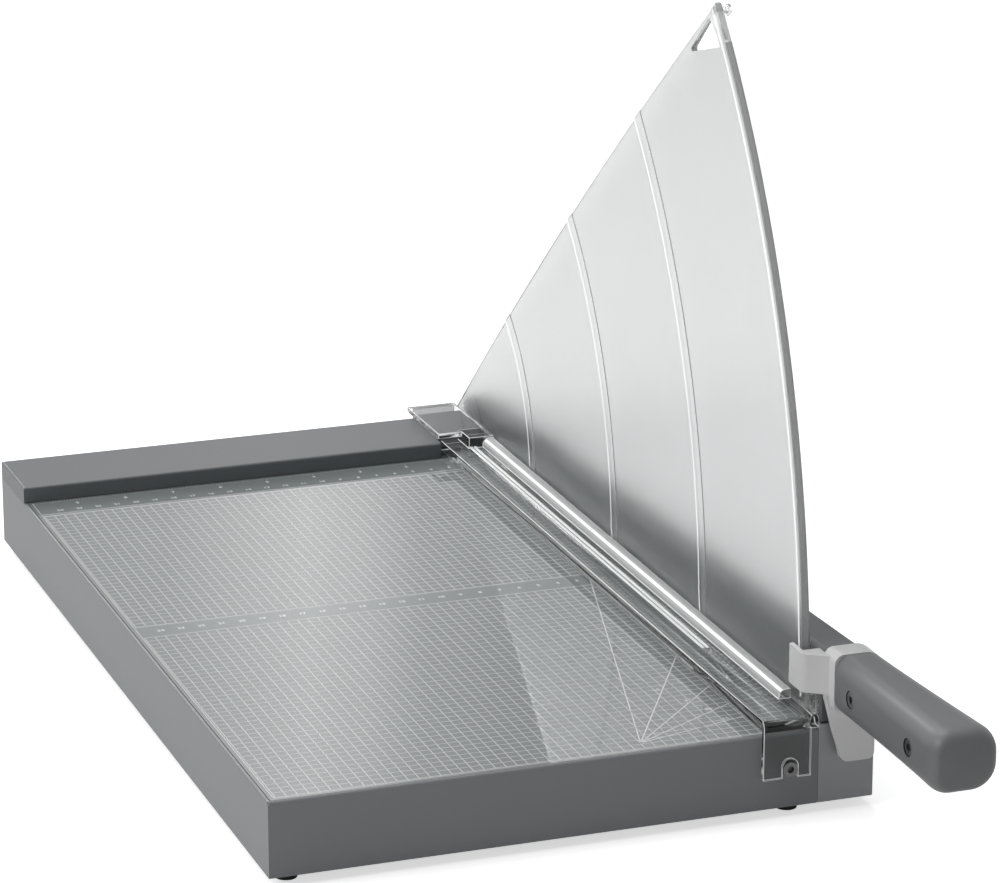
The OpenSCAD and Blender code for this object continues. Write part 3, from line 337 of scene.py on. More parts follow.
def grid_faces(rows, columns, closed=False):
    """Four-sided faces between neighbouring points of a grid that is stored row by row.

    Each face takes a point, the next one in its row and the two below them. Where the grid is
    closed, the last point of a row is joined to its first.
    """
    row = np.arange(rows - 1)[:, None] * columns
    column = np.arange(columns if closed else columns - 1)[None, :]
    following = (column + 1) % columns
    corners = [row + column, row + following, row + columns + following, row + columns + column]
    return np.stack(np.broadcast_arrays(*corners), axis=-1).reshape(-1, 4)


def tube(rings):
    """Skin through rings of points: faces between neighbouring rings and one at each end."""
    count, sides = rings.shape[:2]
    faces = grid_faces(count, sides, closed=True).tolist()
    last = (count - 1) * sides
    faces += [list(range(sides))[::-1], list(range(last, last + sides))]
    return rings.reshape(-1, 3), faces


def join(skins):
    """Several skins as one: their points in a row and their faces counted on."""
    points, faces, start = [], [], 0
    for some_points, some_faces in skins:
        points.append(some_points)
        faces += [[corner + start for corner in face] for face in some_faces]
        start += len(some_points)
    return np.concatenate(points), faces


def face_outwards(mesh):
    """Every closed skin of the mesh gets its faces turned outwards."""
    skin = bmesh.new()
    skin.from_mesh(mesh)
    bmesh.ops.recalc_face_normals(skin, faces=skin.faces)
    skin.to_mesh(mesh)
    skin.free()


def settle(piece, body, stands_for=()):
    """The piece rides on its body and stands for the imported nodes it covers."""
    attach(piece, body)
    if stands_for:
        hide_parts(*stands_for)
    print(piece.name, len(piece.data.polygons), "faces")


def make_piece(name, skin, finish, body, stands_for=()):
    """A piece from points and faces, smooth but for its sharp edges, riding on its body."""
    mesh = bpy.data.meshes.new(name)
    mesh.from_pydata(skin[0], [], skin[1])
    mesh.materials.append(finish)
    face_outwards(mesh)
    mesh.shade_smooth()
    mesh.set_sharp_from_angle(angle=SHARP)
    piece = bpy.data.objects.new(name, mesh)
    scene.collection.objects.link(piece)
    settle(piece, body, stands_for)
    return piece


def moulded_copy(name, node, finish, body, width, segments=2):
    """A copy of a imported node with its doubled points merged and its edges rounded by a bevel."""
    mesh = nodes[node].data.copy()
    skin = bmesh.new()
    skin.from_mesh(mesh)
    bmesh.ops.remove_doubles(skin, verts=skin.verts, dist=0.002 * MM)
    bmesh.ops.dissolve_limit(skin, angle_limit=math.radians(1), verts=skin.verts, edges=skin.edges)
    skin.to_mesh(mesh)
    skin.free()
    mesh.materials.clear()
    mesh.materials.append(finish)
    mesh.shade_smooth()
    mesh.set_sharp_from_angle(angle=SHARP)
    piece = bpy.data.objects.new(name, mesh)
    scene.collection.objects.link(piece)
    rounding = piece.modifiers.new("rounded edges", "BEVEL")
    rounding.width = width * MM
    rounding.segments = segments
    rounding.limit_method = "ANGLE"
    rounding.angle_limit = SHARP
    rounding.harden_normals = True
    settle(piece, body, (node,))
    return piece


# %% [markdown]
# The table is printed with a 5 mm grid, a centimetre ruler across the middle, a second one
# with inches at the back, and five rays that show angles at the front right. It could be an
# image on the plate, but real lines stay sharp at any distance: each one is a flat bar of ink
# a few hundredths of a millimetre high. All bars are worked out at once, as arrays.

# %% Grid, rulers and rays as bars of ink
(PLATE_X0, PLATE_Y0, _), (PLATE_X1, PLATE_Y1, _) = span_mm("table_plate")
INK_HIGH = 0.025
INK_LOW = -0.02
LINE_W = 0.32
GRID_STEP = 5.0
GRID_BACK = 405.8
MIDDLE_RULER = (214.8, 230.5)
BACK_RULER = (408.1, 427.6)
FIRST_TICK = 24.0
INCH = 25.4
PRINT_MARGIN, RIGHT_MARGIN = 2.0, 0.6
BOLD = 1.2
TICK_HALF, INCH_TICK_HALF = 0.09, 0.12
MIDDLE_TICK, BACK_TICK = 1.5, 1.4
INCH_TICK, HALF_INCH_TICK = 1.6, 2.6


def bars(x0, x1, y0, y1):
    """Corners in plan of upright bars, from the lowest and highest x and y of each."""
    x0, x1, y0, y1 = np.broadcast_arrays(x0, x1, y0, y1)
    return np.stack([np.stack([x0, y0], -1), np.stack([x1, y0], -1),
                     np.stack([x1, y1], -1), np.stack([x0, y1], -1)], axis=-2).reshape(-1, 4, 2)


def slanted(start, end, width):
    """Corners in plan of one bar from start to end: half the width to either side of its line."""
    start, end = np.array(start, float), np.array(end, float)
    along = (end - start) / np.linalg.norm(end - start)
    side = np.array([-along[1], along[0]]) * width / 2
    return np.array([[start + side, start - side, end - side, end + side]])


def ink_bars(plans):
    """Flat boxes over the given plans: four corners below, four above and six faces each."""
    plans = np.concatenate(plans)
    low = at(plans[..., 0], plans[..., 1], INK_LOW)
    high = at(plans[..., 0], plans[..., 1], INK_HIGH)
    points = np.concatenate([low, high], axis=1).reshape(-1, 3)
    box = np.array([[3, 2, 1, 0], [4, 5, 6, 7], [0, 1, 5, 4],
                    [1, 2, 6, 5], [2, 3, 7, 6], [3, 0, 4, 7]])
    faces = (np.arange(len(plans))[:, None, None] * 8 + box).reshape(-1, 4)
    return points, faces.tolist()


half = LINE_W / 2
left, right = PLATE_X0 + PRINT_MARGIN, PLATE_X1 - RIGHT_MARGIN
front_line, grid_front = PLATE_Y0 + PRINT_MARGIN, PLATE_Y0 + 2.4
columns = -np.arange(GRID_STEP, -left, GRID_STEP)
rows = np.arange(GRID_STEP, GRID_BACK, GRID_STEP)
rows = rows[(rows < MIDDLE_RULER[0]) | (rows > MIDDLE_RULER[1])]
millimetres = -np.arange(FIRST_TICK, -left, 1.0)
sixteenths = -np.arange(1.0, -left, INCH / 16)
sixteenths = sixteenths[sixteenths < -FIRST_TICK]
tick_reach = np.where(np.arange(len(sixteenths)) % 8 == 0, HALF_INCH_TICK, INCH_TICK)
ruler_lines = np.array([*MIDDLE_RULER, GRID_BACK, BACK_RULER[0]])
prints = [
    bars(columns - half, columns + half, grid_front, MIDDLE_RULER[0]),
    bars(columns - half, columns + half, MIDDLE_RULER[1], GRID_BACK),
    bars(left, right, rows - half, rows + half),
    bars(left, right, ruler_lines - half * BOLD, ruler_lines + half * BOLD),
    bars(left - half, left + half, front_line, BACK_RULER[1]),
    bars(left, right, front_line, front_line + 2 * half),
    bars(millimetres - TICK_HALF, millimetres + TICK_HALF,
         MIDDLE_RULER[1] - MIDDLE_TICK, MIDDLE_RULER[1]),
    bars(millimetres - TICK_HALF, millimetres + TICK_HALF,
         BACK_RULER[0], BACK_RULER[0] + BACK_TICK),
    bars(sixteenths - INCH_TICK_HALF, sixteenths + INCH_TICK_HALF,
         BACK_RULER[1] - tick_reach, BACK_RULER[1]),
]

RAY_START = (-79.8, 11.3)
RAY_END_X = -23.5
RAY_W = 0.55
for degrees in (15, 30, 45, 60, 75):
    slope = math.tan(math.radians(degrees))
    end = (RAY_END_X, RAY_START[1] + (RAY_END_X - RAY_START[0]) * slope)
    prints.append(slanted(RAY_START, end, RAY_W))
print("bars of ink", sum(len(plan) for plan in prints))

# %% [markdown]
# The rulers carry plain numbers: centimetres on both, inches at the very back. Blender's own
# font gives the outlines. Each number is made a mesh once, and its points are then moved to
# their place as an array, so the finished print is a single piece at the origin.

# %% Numbers
BOLDER = 0.10
MIDDLE_NUMBERS, BACK_NUMBERS, INCH_NUMBERS = (222.5, 2.6), (413.0, 2.4), (421.8, 2.8)
RAY_NUMBERS = ((60, -47.0, 68.4), (45, -38.4, 51.1), (30, -33.9, 38.2), (15, -31.0, 24.4))


def number_skin(text, x, y, height, turn=0.0):
    """Outline of a number as a thin plate: the font's flat shape, scaled, turned and moved."""
    curve = bpy.data.curves.new("number", "FONT")
    curve.body = text
    curve.align_x, curve.align_y = "CENTER", "CENTER"
    curve.size = height * 1.4
    curve.offset = BOLDER
    curve.resolution_u = 2
    curve.extrude = (INK_HIGH - INK_LOW) / 2
    word = bpy.data.objects.new("number", curve)
    mesh = bpy.data.meshes.new_from_object(word)
    flat = np.empty(len(mesh.vertices) * 3)
    mesh.vertices.foreach_get("co", flat)
    flat = flat.reshape(-1, 3)
    cos, sin = math.cos(turn), math.sin(turn)
    points = at(x + flat[:, 0] * cos - flat[:, 1] * sin, y + flat[:, 0] * sin + flat[:, 1] * cos,
                flat[:, 2] + (INK_HIGH + INK_LOW) / 2)
    faces = [list(face.vertices) for face in mesh.polygons]
    bpy.data.objects.remove(word)
    bpy.data.curves.remove(curve)
    bpy.data.meshes.remove(mesh)
    return points, faces


skins = [ink_bars(prints)]
for centimetres in range(3, 25):
    x = -10.0 * centimetres
    skins.append(number_skin(str(centimetres), x, *MIDDLE_NUMBERS))
    skins.append(number_skin(str(centimetres), x, *BACK_NUMBERS))
for inches in range(1, 10):
    skins.append(number_skin(str(inches), -INCH * inches, *INCH_NUMBERS))
for degrees, x, y in RAY_NUMBERS:
    skins.append(number_skin(str(degrees), x - 2.0, y + 1.6, 2.6))
make_piece("table_print", join(skins), ink, "root")

# %% [markdown]
# The guard is a sector of clear plastic, three millimetres thick, that turns its round rim to
# the user. Three raised bands run round it at fixed distances from the pivot. So its skin is
# worked out in distance and angle from the pivot: each ring of points climbs the left face at
# one radius and comes down the right face, and the rings follow from the rim to the tail.

# %% Sizes of the guard
GUARD_X1 = span_mm("guard_shield")[1][0]
PIVOT_Y, PIVOT_Z = (np.array(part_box("pivot_bolt")[0]) + np.array(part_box("pivot_bolt")[1]))[1:] / 2
PIVOT_Y, PIVOT_Z = (PIVOT_Y - ZERO[1]) / MM, (PIVOT_Z - ZERO[2]) / MM
GUARD_R = PIVOT_Y - span_mm("guard_shield")[0][1]
GUARD_T, RIM_T, BAND_T = 2.95, 0.8, 0.45
RIM_W, RELIEF_WALL = 6.5, 0.25
BAND_HIGHLIGHT_W, RIM_HIGHLIGHT = 1.1, (3.0, 4.4)
BANDS = ((327.5, 336.3), (213.5, 221.5), (96.5, 104.8))
TOP_ANGLE = math.radians(41.7)
TAIL_Y, TAIL_Z0, TAIL_Z1 = span_mm("guard_shield")[1][1], 10.7, 13.4
GUARD_LOW, RELIEF_LOW = 7.65, 12.4
BOW = 5.6
print("guard radius", round(GUARD_R, 1), "pivot", round(PIVOT_Y, 1), round(PIVOT_Z, 1))

# %% Skin of the guard


def top_angle(radius):
    """Angle at which a circle about the pivot meets the bowed upper edge.

    The edge is an arc of radius B about a centre at distance d from the pivot. In the triangle
    of radius, d and B the law of cosines gives the angle between the centre and the meeting.
    """
    corner = np.array([PIVOT_Y - GUARD_R * math.cos(TOP_ANGLE),
                       PIVOT_Z + GUARD_R * math.sin(TOP_ANGLE)])
    tail = np.array([TAIL_Y, TAIL_Z1])
    length = np.linalg.norm(tail - corner)
    across = np.array([corner[1] - tail[1], tail[0] - corner[0]]) / length
    bow_radius = (length ** 2 / 4 + BOW ** 2) / (2 * BOW)
    centre = (corner + tail) / 2 - across * (bow_radius - BOW)
    offset = centre - np.array([PIVOT_Y, PIVOT_Z])
    distance = np.linalg.norm(offset)
    to_centre = math.atan2(offset[1], -offset[0])
    inner = (radius ** 2 + distance ** 2 - bow_radius ** 2) / (2 * radius * distance)
    return to_centre + np.arccos(np.clip(inner, -1, 1))


def relief(radius):
    """How far the left face stands out at a radius: bands and rim, with short sloped walls."""
    height = np.interp(radius, [GUARD_R - RIM_W - RELIEF_WALL, GUARD_R - RIM_W, GUARD_R],
                       [0, RIM_T, RIM_T])
    for inner, outer in BANDS:
        height = height + np.interp(
            radius, [inner - RELIEF_WALL, inner, outer, outer + RELIEF_WALL],
            [0, BAND_T, BAND_T, 0])
    return height


edge_radii = np.concatenate([[inner - RELIEF_WALL, inner, inner + BAND_HIGHLIGHT_W,
                              outer - 0.6, outer, outer + RELIEF_WALL]
                             for inner, outer in BANDS])
rim_radii = GUARD_R - np.array([RIM_W + RELIEF_WALL, RIM_W, *RIM_HIGHLIGHT, 0.5])
radii = np.concatenate([np.arange(24.0, GUARD_R - 8, 9.0), edge_radii, rim_radii])
radii = np.unique(radii.round(3))[::-1]
lift = np.concatenate([[0.0, 0.012, 0.014], np.linspace(0.06, 0.985, 26), [0.997, 1.0]])
low_angle = np.arcsin((GUARD_LOW - PIVOT_Z) / radii)
high_angle = top_angle(radii)
angle = low_angle[:, None] + (high_angle - low_angle)[:, None] * lift
y = PIVOT_Y - radii[:, None] * np.cos(angle)
z = PIVOT_Z + radii[:, None] * np.sin(angle)
stands_out = np.where(z > RELIEF_LOW, relief(radii)[:, None], 0)
upper_round = np.interp(lift, [0.985, 0.997, 1.0], [0, 0.15, 0.6])
x_left = GUARD_X1 - GUARD_T - stands_out + upper_round
x_right = GUARD_X1 - upper_round + 0 * y

# The rim's outer edge: the faces draw together over the last half millimetre
EDGE_STEPS = ((0.15, 0.12), (0.0, 0.5))
rim_rings = []
for inset, draw_in in EDGE_STEPS:
    radius = GUARD_R - inset
    low = math.asin((GUARD_LOW - PIVOT_Z) / radius)
    some = low + (float(top_angle(np.array(radius))) - low) * lift
    rim_rings.append((PIVOT_Y - radius * np.cos(some), PIVOT_Z + radius * np.sin(some),
                      x_left[0] + draw_in, x_right[0] - draw_in))
# Towards the tail the arc at the smallest radius turns into the guard's straight rear end, and
# the lower edge steps up just before it so that it clears the fence when the strip is pressed
TAIL_STEPS = ((0.034, GUARD_LOW), (0.040, TAIL_Z0), (0.33, TAIL_Z0), (0.66, TAIL_Z0),
              (1.0, TAIL_Z0))
tail_z = TAIL_Z0 + (TAIL_Z1 - TAIL_Z0) * lift
tail_rings = []
for share, low_edge in TAIL_STEPS:
    some_z = z[-1] + (tail_z - z[-1]) * share
    stretch = (some_z[-1] - low_edge) / (some_z[-1] - some_z[0])
    tail_rings.append((y[-1] + (TAIL_Y - y[-1]) * share, low_edge + (some_z - some_z[0]) * stretch,
                       x_left[-1], x_right[-1]))
face_rings = [(y[i], z[i], x_left[i], x_right[i]) for i in range(len(radii))]
ring_list = rim_rings[::-1] + face_rings + tail_rings
sides = np.array([np.concatenate([np.stack([xl, yy, zz], -1), np.stack([xr, yy, zz], -1)[::-1]])
                  for yy, zz, xl, xr in ring_list])
rings = at(sides[..., 0], sides[..., 1], sides[..., 2])
ring_count, ring_sides = rings.shape[:2]
steps = len(lift)
faces = grid_faces(ring_count, ring_sides, closed=True).tolist()
for ring in (0, ring_count - 1):
    start = ring * ring_sides
    faces += [[start + k, start + k + 1, start + ring_sides - 2 - k, start + ring_sides - 1 - k]
              for k in range(steps - 1)]
guard_skin = (rings.reshape(-1, 3), faces)
print("guard rings", ring_count, "of", ring_sides)

# %% [markdown]
# A three-cornered window is cut out below the top corner. The cutter is the window's outline with
# round corners, made solid across the guard. Before the cut, the narrow faces along the inner edge of
# each band get a painted highlight and the outer ones painted shade, as the picture shows them; the
# rim gets a painted highlight near its edge and painted shade on its outer face. They are found by
# how far their middles are from the pivot.

# %% Window and finishes of the guard
WINDOW_HALF, WINDOW_DEPTH, WINDOW_ROUND = 8.5, 25.5, 1.2
WINDOW_TOP_IN = (2.05, 4.6)


def rounded_corners(corners, radius, steps=6):
    """Outline whose corners are arcs: the corner points moved out by the radius all round.

    Each corner gives points on a circle about itself, from the normal of the side before it to
    the normal of the side after it.
    """
    corners = np.array(corners, float)
    following = np.roll(corners, -1, axis=0)
    area = np.sum(corners[:, 0] * following[:, 1] - following[:, 0] * corners[:, 1])
    if area < 0:
        corners = corners[::-1]
    ahead = np.roll(corners, -1, axis=0) - corners
    out = np.arctan2(-ahead[:, 0], ahead[:, 1])
    before = np.roll(out, 1)
    turn = (out - before) % (2 * math.pi)
    angles = before[:, None] + turn[:, None] * np.linspace(0, 1, steps)
    ring = corners[:, None, :] + radius * np.stack([np.cos(angles), np.sin(angles)], axis=-1)
    return ring.reshape(-1, 2)


def prism_x(outline, x0, x1):
    """An outline in (y, z) made solid from x0 to x1."""
    rings = np.array([at(x, outline[:, 0], outline[:, 1]) for x in (x0, x1)])
    return tube(rings)


def cut(piece, cutter_skin, cutter_finish=None):
    """Takes the cutter's solid out of the piece; cut faces get the cutter's finish, if any."""
    mesh = bpy.data.meshes.new("cutter")
    mesh.from_pydata(cutter_skin[0], [], cutter_skin[1])
    face_outwards(mesh)
    if cutter_finish is not None:
        mesh.materials.append(cutter_finish)
    cutter = bpy.data.objects.new("cutter", mesh)
    scene.collection.objects.link(cutter)
    work = piece.modifiers.new("cut", "BOOLEAN")
    work.operation = "DIFFERENCE"
    work.solver = "EXACT"
    work.object = cutter
    if cutter_finish is not None:
        work.material_mode = "TRANSFER"
    bpy.context.view_layer.update()
    worked_out = piece.evaluated_get(bpy.context.evaluated_depsgraph_get())
    finished = bpy.data.meshes.new_from_object(worked_out)
    piece.modifiers.clear()
    old = piece.data
    piece.data = finished
    finished.name = piece.name
    bpy.data.meshes.remove(old)
    bpy.data.objects.remove(cutter)
    finished.set_sharp_from_angle(angle=SHARP)


def of_faces(piece, kind):
    """The centre or the normal of every face, one row for each."""
    values = np.empty(len(piece.data.polygons) * 3)
    piece.data.polygons.foreach_get(kind, values)
    return values.reshape(-1, 3)


guard = make_piece("guard", guard_skin, frosted_plastic, "clamp",
                   ("guard_shield",))
# The first added finish is a painted highlight, the second painted shade.
HIGHLIGHT_PAINTED, SHADE_PAINTED = 1, 2
guard.data.materials.append(band_highlight_paint)
guard.data.materials.append(band_shade_paint)
cx, cy, cz = ((of_faces(guard, "center") - ZERO) / MM).T
far = np.hypot(cy - PIVOT_Y, cz - PIVOT_Z)
on_left = (cx < GUARD_X1 - GUARD_T / 2) & (cz > RELIEF_LOW)
finish_index = np.zeros(len(far), int)
for inner, outer in BANDS:
    finish_index[on_left & (far > inner - RELIEF_WALL) & (far < inner + BAND_HIGHLIGHT_W)] = HIGHLIGHT_PAINTED
    finish_index[on_left & (far > outer) & (far < outer + RELIEF_WALL)] = SHADE_PAINTED
from_rim = GUARD_R - far
finish_index[on_left & (from_rim > RIM_HIGHLIGHT[0]) & (from_rim < RIM_HIGHLIGHT[1])] = HIGHLIGHT_PAINTED
finish_index[far > GUARD_R - 0.1] = SHADE_PAINTED
guard.data.polygons.foreach_set("material_index", finish_index)
print("faces with painted highlight", int((finish_index == HIGHLIGHT_PAINTED).sum()))

window_r = GUARD_R - RIM_W - 1.2
low_corner = TOP_ANGLE - 2 * math.asin(WINDOW_HALF / window_r)
top_y = PIVOT_Y - window_r * math.cos(TOP_ANGLE) + WINDOW_TOP_IN[0]
top_z = PIVOT_Z + window_r * math.sin(TOP_ANGLE) - WINDOW_TOP_IN[1]
window = [(PIVOT_Y - window_r * math.cos(low_corner), PIVOT_Z + window_r * math.sin(low_corner)),
          (top_y, top_z),
          (top_y + WINDOW_DEPTH * math.cos(TOP_ANGLE), top_z - WINDOW_DEPTH * math.sin(TOP_ANGLE))]
window_cutter = prism_x(rounded_corners(window, WINDOW_ROUND), GUARD_X1 - 8, GUARD_X1 + 8)
cut(guard, window_cutter, clear_plastic)

# %% [markdown]
# The clamp strip is one clear moulding: a flat flange, a ridge along the guard, two fine ribs, a
# block over the fence and a tab at each end. Its shape in the imported model is right, so a copy of
# it only gets its edges rounded, and these rounded edges get a painted highlight. The ridge, its
# crest and front end, the ribs and the tabs get their own finishes, each found by where the middle of
# a face lies and which way it leans: the crest and the ribs a painted highlight, the ridge's front
# end painted shade.

# %% Clamp strip and stop peg
MILKY, SMOKY, EDGE_HIGHLIGHT_PAINTED, END_SHADE_PAINTED, CREST_HIGHLIGHT_PAINTED = 1, 2, 3, 4, 5
RIDGE_FRONT_Y, BLOCK_Y = 23, 405
RIB_X0, RIB_X1 = -16.4, -12.9
TAB_TOP_Z = 7.4
CREST_LEAN = (28, 52)
RIDGE_X0, RIDGE_Z = GUARD_X1 - GUARD_T - 6.2, 7.75
strip = moulded_copy("clamp_strip_clear", "clamp_strip", flange_plastic, "clamp",
                     0.3)
for finish in (milky_plastic, smoky_plastic, edge_highlight_paint, edge_shade_paint, crest_highlight_paint):
    strip.data.materials.append(finish)
# Every rounded edge of the strip takes the finish with the painted highlight.
strip.modifiers["rounded edges"].material = EDGE_HIGHLIGHT_PAINTED
strip.modifiers["rounded edges"].use_clamp_overlap = False
sx, sy, sz = ((of_faces(strip, "center") - ZERO) / MM).T
normals = of_faces(strip, "normal")
lean = np.degrees(np.arctan2(-normals[:, 0], normals[:, 2]))
raised = (sz > RIDGE_Z) & (sy < BLOCK_Y)
ridge = raised & (sx > RIDGE_X0)
strip_finish = np.zeros(len(sx), int)
strip_finish[ridge] = MILKY
strip_finish[(sz < TAB_TOP_Z) & ((sy < 1.0) | ((sy > PLATE_Y1) & (sz < 1.0)))] = SMOKY
# The ribs take the painted highlight, the ridge's front end painted shade, and the crest a glowing
# painted highlight.
strip_finish[raised & (sx > RIB_X0) & (sx < RIB_X1)] = EDGE_HIGHLIGHT_PAINTED
strip_finish[ridge & (sy < RIDGE_FRONT_Y)] = END_SHADE_PAINTED
strip_finish[ridge & (sy > RIDGE_FRONT_Y) & (lean > CREST_LEAN[0]) & (lean < CREST_LEAN[1])] = CREST_HIGHLIGHT_PAINTED
strip.data.polygons.foreach_set("material_index", strip_finish)
print("faces of the ridge", int(ridge.sum()), "of the tabs", int((strip_finish == SMOKY).sum()))
moulded_copy("stop_peg", "stop_pin", clear_plastic, "clamp", 0.25)

# %% [markdown]
# The collar is a white moulding between the arm and the handle. It carries the hook that
# holds the guard's rim and the tongue in front of the knife. Its edges are softly rounded.

# %% Collar
moulded_copy("collar_moulding", "collar", white_plastic, "arm", 0.7, 3)

# %% [markdown]
# The handle is a soft grip over the arm's tang. Cut across, it is a rectangle with round
# corners, small ones towards the table and large ones away from it. It widens towards its end
# and closes in a low dome. Such a form is lofted: one ring of points for every station along
# the grip, all of them from the same formula. Two deep holes show the screws that hold it.

# %% Handle
(HANDLE_X0, HANDLE_Y1, HANDLE_Z0), (HANDLE_X1, HANDLE_Y0, HANDLE_Z1) = span_mm("handle")


def soft_section(x0, x1, z0, z1, r_left, r_right, steps=9):
    """Points round a rectangle with round corners: four quarter circles, one after the other."""
    quarter = np.linspace(0, math.pi / 2, steps)
    ring = []
    corners = ((x0, z0, r_left, math.pi), (x1, z0, r_right, 1.5 * math.pi),
               (x1, z1, r_right, 0.0), (x0, z1, r_left, 0.5 * math.pi))
    for corner_x, corner_z, radius, start in corners:
        centre_x = corner_x + (radius if corner_x == x0 else -radius)
        centre_z = corner_z + (radius if corner_z == z0 else -radius)
        ring.append(np.stack([centre_x + radius * np.cos(start + quarter),
                              centre_z + radius * np.sin(start + quarter)], axis=-1))
    return np.concatenate(ring)


GRIP_LOW, GRIP_HIGH = HANDLE_Z0, HANDLE_Z1 - 0.4
END_ROUND, DOME = 5.5, 1.2
GRIP_END_X = HANDLE_X1 + 1.6
GRIP_ROOT_W = 24.3
DOME_SHARE = 0.92
ROOT_IN = 0.5
FLARE = 1.2
LOW_RISE, LOW_SAG, HIGH_RISE = 0.3, 1.8, 0.4
LEFT_R, RIGHT_R = (8.0, 9.0), (9.5, 12.0)
stations = np.concatenate([[0.0, 0.006], np.linspace(0.03, DOME_SHARE, 26)])
grip_rings = []
for share in stations:
    y = HANDLE_Y0 + (HANDLE_Y1 + DOME - HANDLE_Y0) * share
    root_in = ROOT_IN if share == 0 else 0.0
    x1 = HANDLE_X0 + GRIP_ROOT_W + (GRIP_END_X - HANDLE_X0 - GRIP_ROOT_W) * share ** FLARE
    low = GRIP_LOW + LOW_RISE * share - LOW_SAG * share ** 3
    high = GRIP_HIGH + HIGH_RISE * share
    section = soft_section(HANDLE_X0 + root_in, x1 - root_in, low + root_in, high - root_in,
                           LEFT_R[0] + (LEFT_R[1] - LEFT_R[0]) * share,
                           RIGHT_R[0] + (RIGHT_R[1] - RIGHT_R[0]) * share)
    grip_rings.append(at(section[:, 0], y, section[:, 1]))
end_y = HANDLE_Y0 + (HANDLE_Y1 + DOME - HANDLE_Y0) * DOME_SHARE
end_x1 = x1
for turn in np.radians([15, 30, 45, 60, 75, 90]):
    y = end_y + (HANDLE_Y1 + DOME - end_y) * math.sin(turn)
    inset = END_ROUND * (1 - math.cos(turn))
    section = soft_section(HANDLE_X0 + inset * 0.6, end_x1 - inset,
                           low + inset * 0.8, high - inset * 0.8,
                           LEFT_R[1] - inset * 0.5, RIGHT_R[1] - inset * 0.5)
    grip_rings.append(at(section[:, 0], y, section[:, 1]))
last_ring = grip_rings[-1]
middle = last_ring.mean(axis=0)
for share in (0.8, 0.55, 0.3, 0.08):
    ring = middle + (last_ring - middle) * share
    ring[:, 1] = last_ring[0, 1] - DOME * MM * (1 - share ** 2)
    grip_rings.append(ring)
handle = make_piece("soft_handle", tube(np.array(grip_rings)), soft_grip, "arm",
                    ("handle",))

# %% Holes for the handle's screws, their walls in painted shade
# The walls of the holes take a near-black finish: painted shade in the recesses round the screw
# heads.
recess_shade_paint, recess_shade_shader = start_material("painted shade in recess", colour(34), 0.6)
fine_grain(recess_shade_paint, recess_shade_shader, 0.001, 0.00001, (0.55, 0.65))
RECESS_R, RECESS_DEPTH = 4.1, 3.4
HEAD_R = 3.7
screw_low, screw_high = span_mm("handle_screws")
screw_z = (screw_low[2] + screw_high[2]) / 2
round_turn = np.linspace(0, 2 * math.pi, 48, endpoint=False)
for screw_y in (screw_low[1] + HEAD_R, screw_high[1] - HEAD_R):
    rim = np.stack([screw_y + RECESS_R * np.cos(round_turn),
                    screw_z + RECESS_R * np.sin(round_turn)], axis=-1)
    cut(handle, prism_x(rim, HANDLE_X0 - 1, HANDLE_X0 + RECESS_DEPTH), recess_shade_paint)
print("screws of the handle at", screw_low.round(1), screw_high.round(1))

# %% [markdown]
# The studio: a white floor that keeps the soft shadow, a white surround, one large lamp from
# the upper left, one from above and a small weak one behind, which draws the light lines along
# the folded edges. Behind the trimmer stands a card with a bright upright band; only the
# varnish and clear pieces show it, and it gives the table its soft bright stripe. It could be
# a real window in the surround, but a card can be moved without changing any other light.

# %% Floor
floor_white, floor_shader = start_material("floor", (0.92, 0.92, 0.92, 1.0), 0.9,
                                           Specular_IOR_Level=0.0)


def seen_straight(material):
    """One for rays from the camera, a mirror or through glass, zero for the soft ones."""
    rays = add_node(material, "ShaderNodeLightPath")
    first = add_node(material, "ShaderNodeMath", [(0, rays.outputs["Is Camera Ray"]),
                                                  (1, rays.outputs["Is Glossy Ray"])],
                     operation="MAXIMUM")
    return add_node(material, "ShaderNodeMath", [(0, first.outputs[0]),
                                                 (1, rays.outputs["Is Transmission Ray"])],
                    operation="MAXIMUM").outputs[0]


FLOOR_LIFT = (("Is Camera Ray", 0.62), ("Is Transmission Ray", 0.62), ("Is Glossy Ray", 0.08))
rays = add_node(floor_white, "ShaderNodeLightPath")
strongest = None
for ray, lift_share in FLOOR_LIFT:
    scaled = add_node(floor_white, "ShaderNodeMath", [(0, rays.outputs[ray])], operation="MULTIPLY")
    scaled.inputs[1].default_value = lift_share
    if strongest is None:
        strongest = scaled.outputs[0]
    else:
        both = [(0, strongest), (1, scaled.outputs[0])]
        strongest = add_node(floor_white, "ShaderNodeMath", both, operation="MAXIMUM").outputs[0]
floor_white.node_tree.links.new(strongest, floor_shader.inputs["Emission Strength"])
floor_shader.inputs["Emission Color"].default_value = (1, 1, 1, 1)

bpy.ops.mesh.primitive_plane_add(size=12, location=(0, 0, 0))
floor = bpy.context.object
floor.name = "floor"
floor.data.materials.append(floor_white)

# %% Surround
AMBIENT = 0.19
world = bpy.data.worlds.new("surround")
scene.world = world
world.use_nodes = True
backdrop = world.node_tree.nodes["Background"]
backdrop.inputs["Color"].default_value = (1, 1, 1, 1)
level = add_node(world, "ShaderNodeMapRange", [("Value", seen_straight(world))])
level.inputs["To Min"].default_value = AMBIENT
level.inputs["To Max"].default_value = 1.0
world.node_tree.links.new(level.outputs["Result"], backdrop.inputs["Strength"])

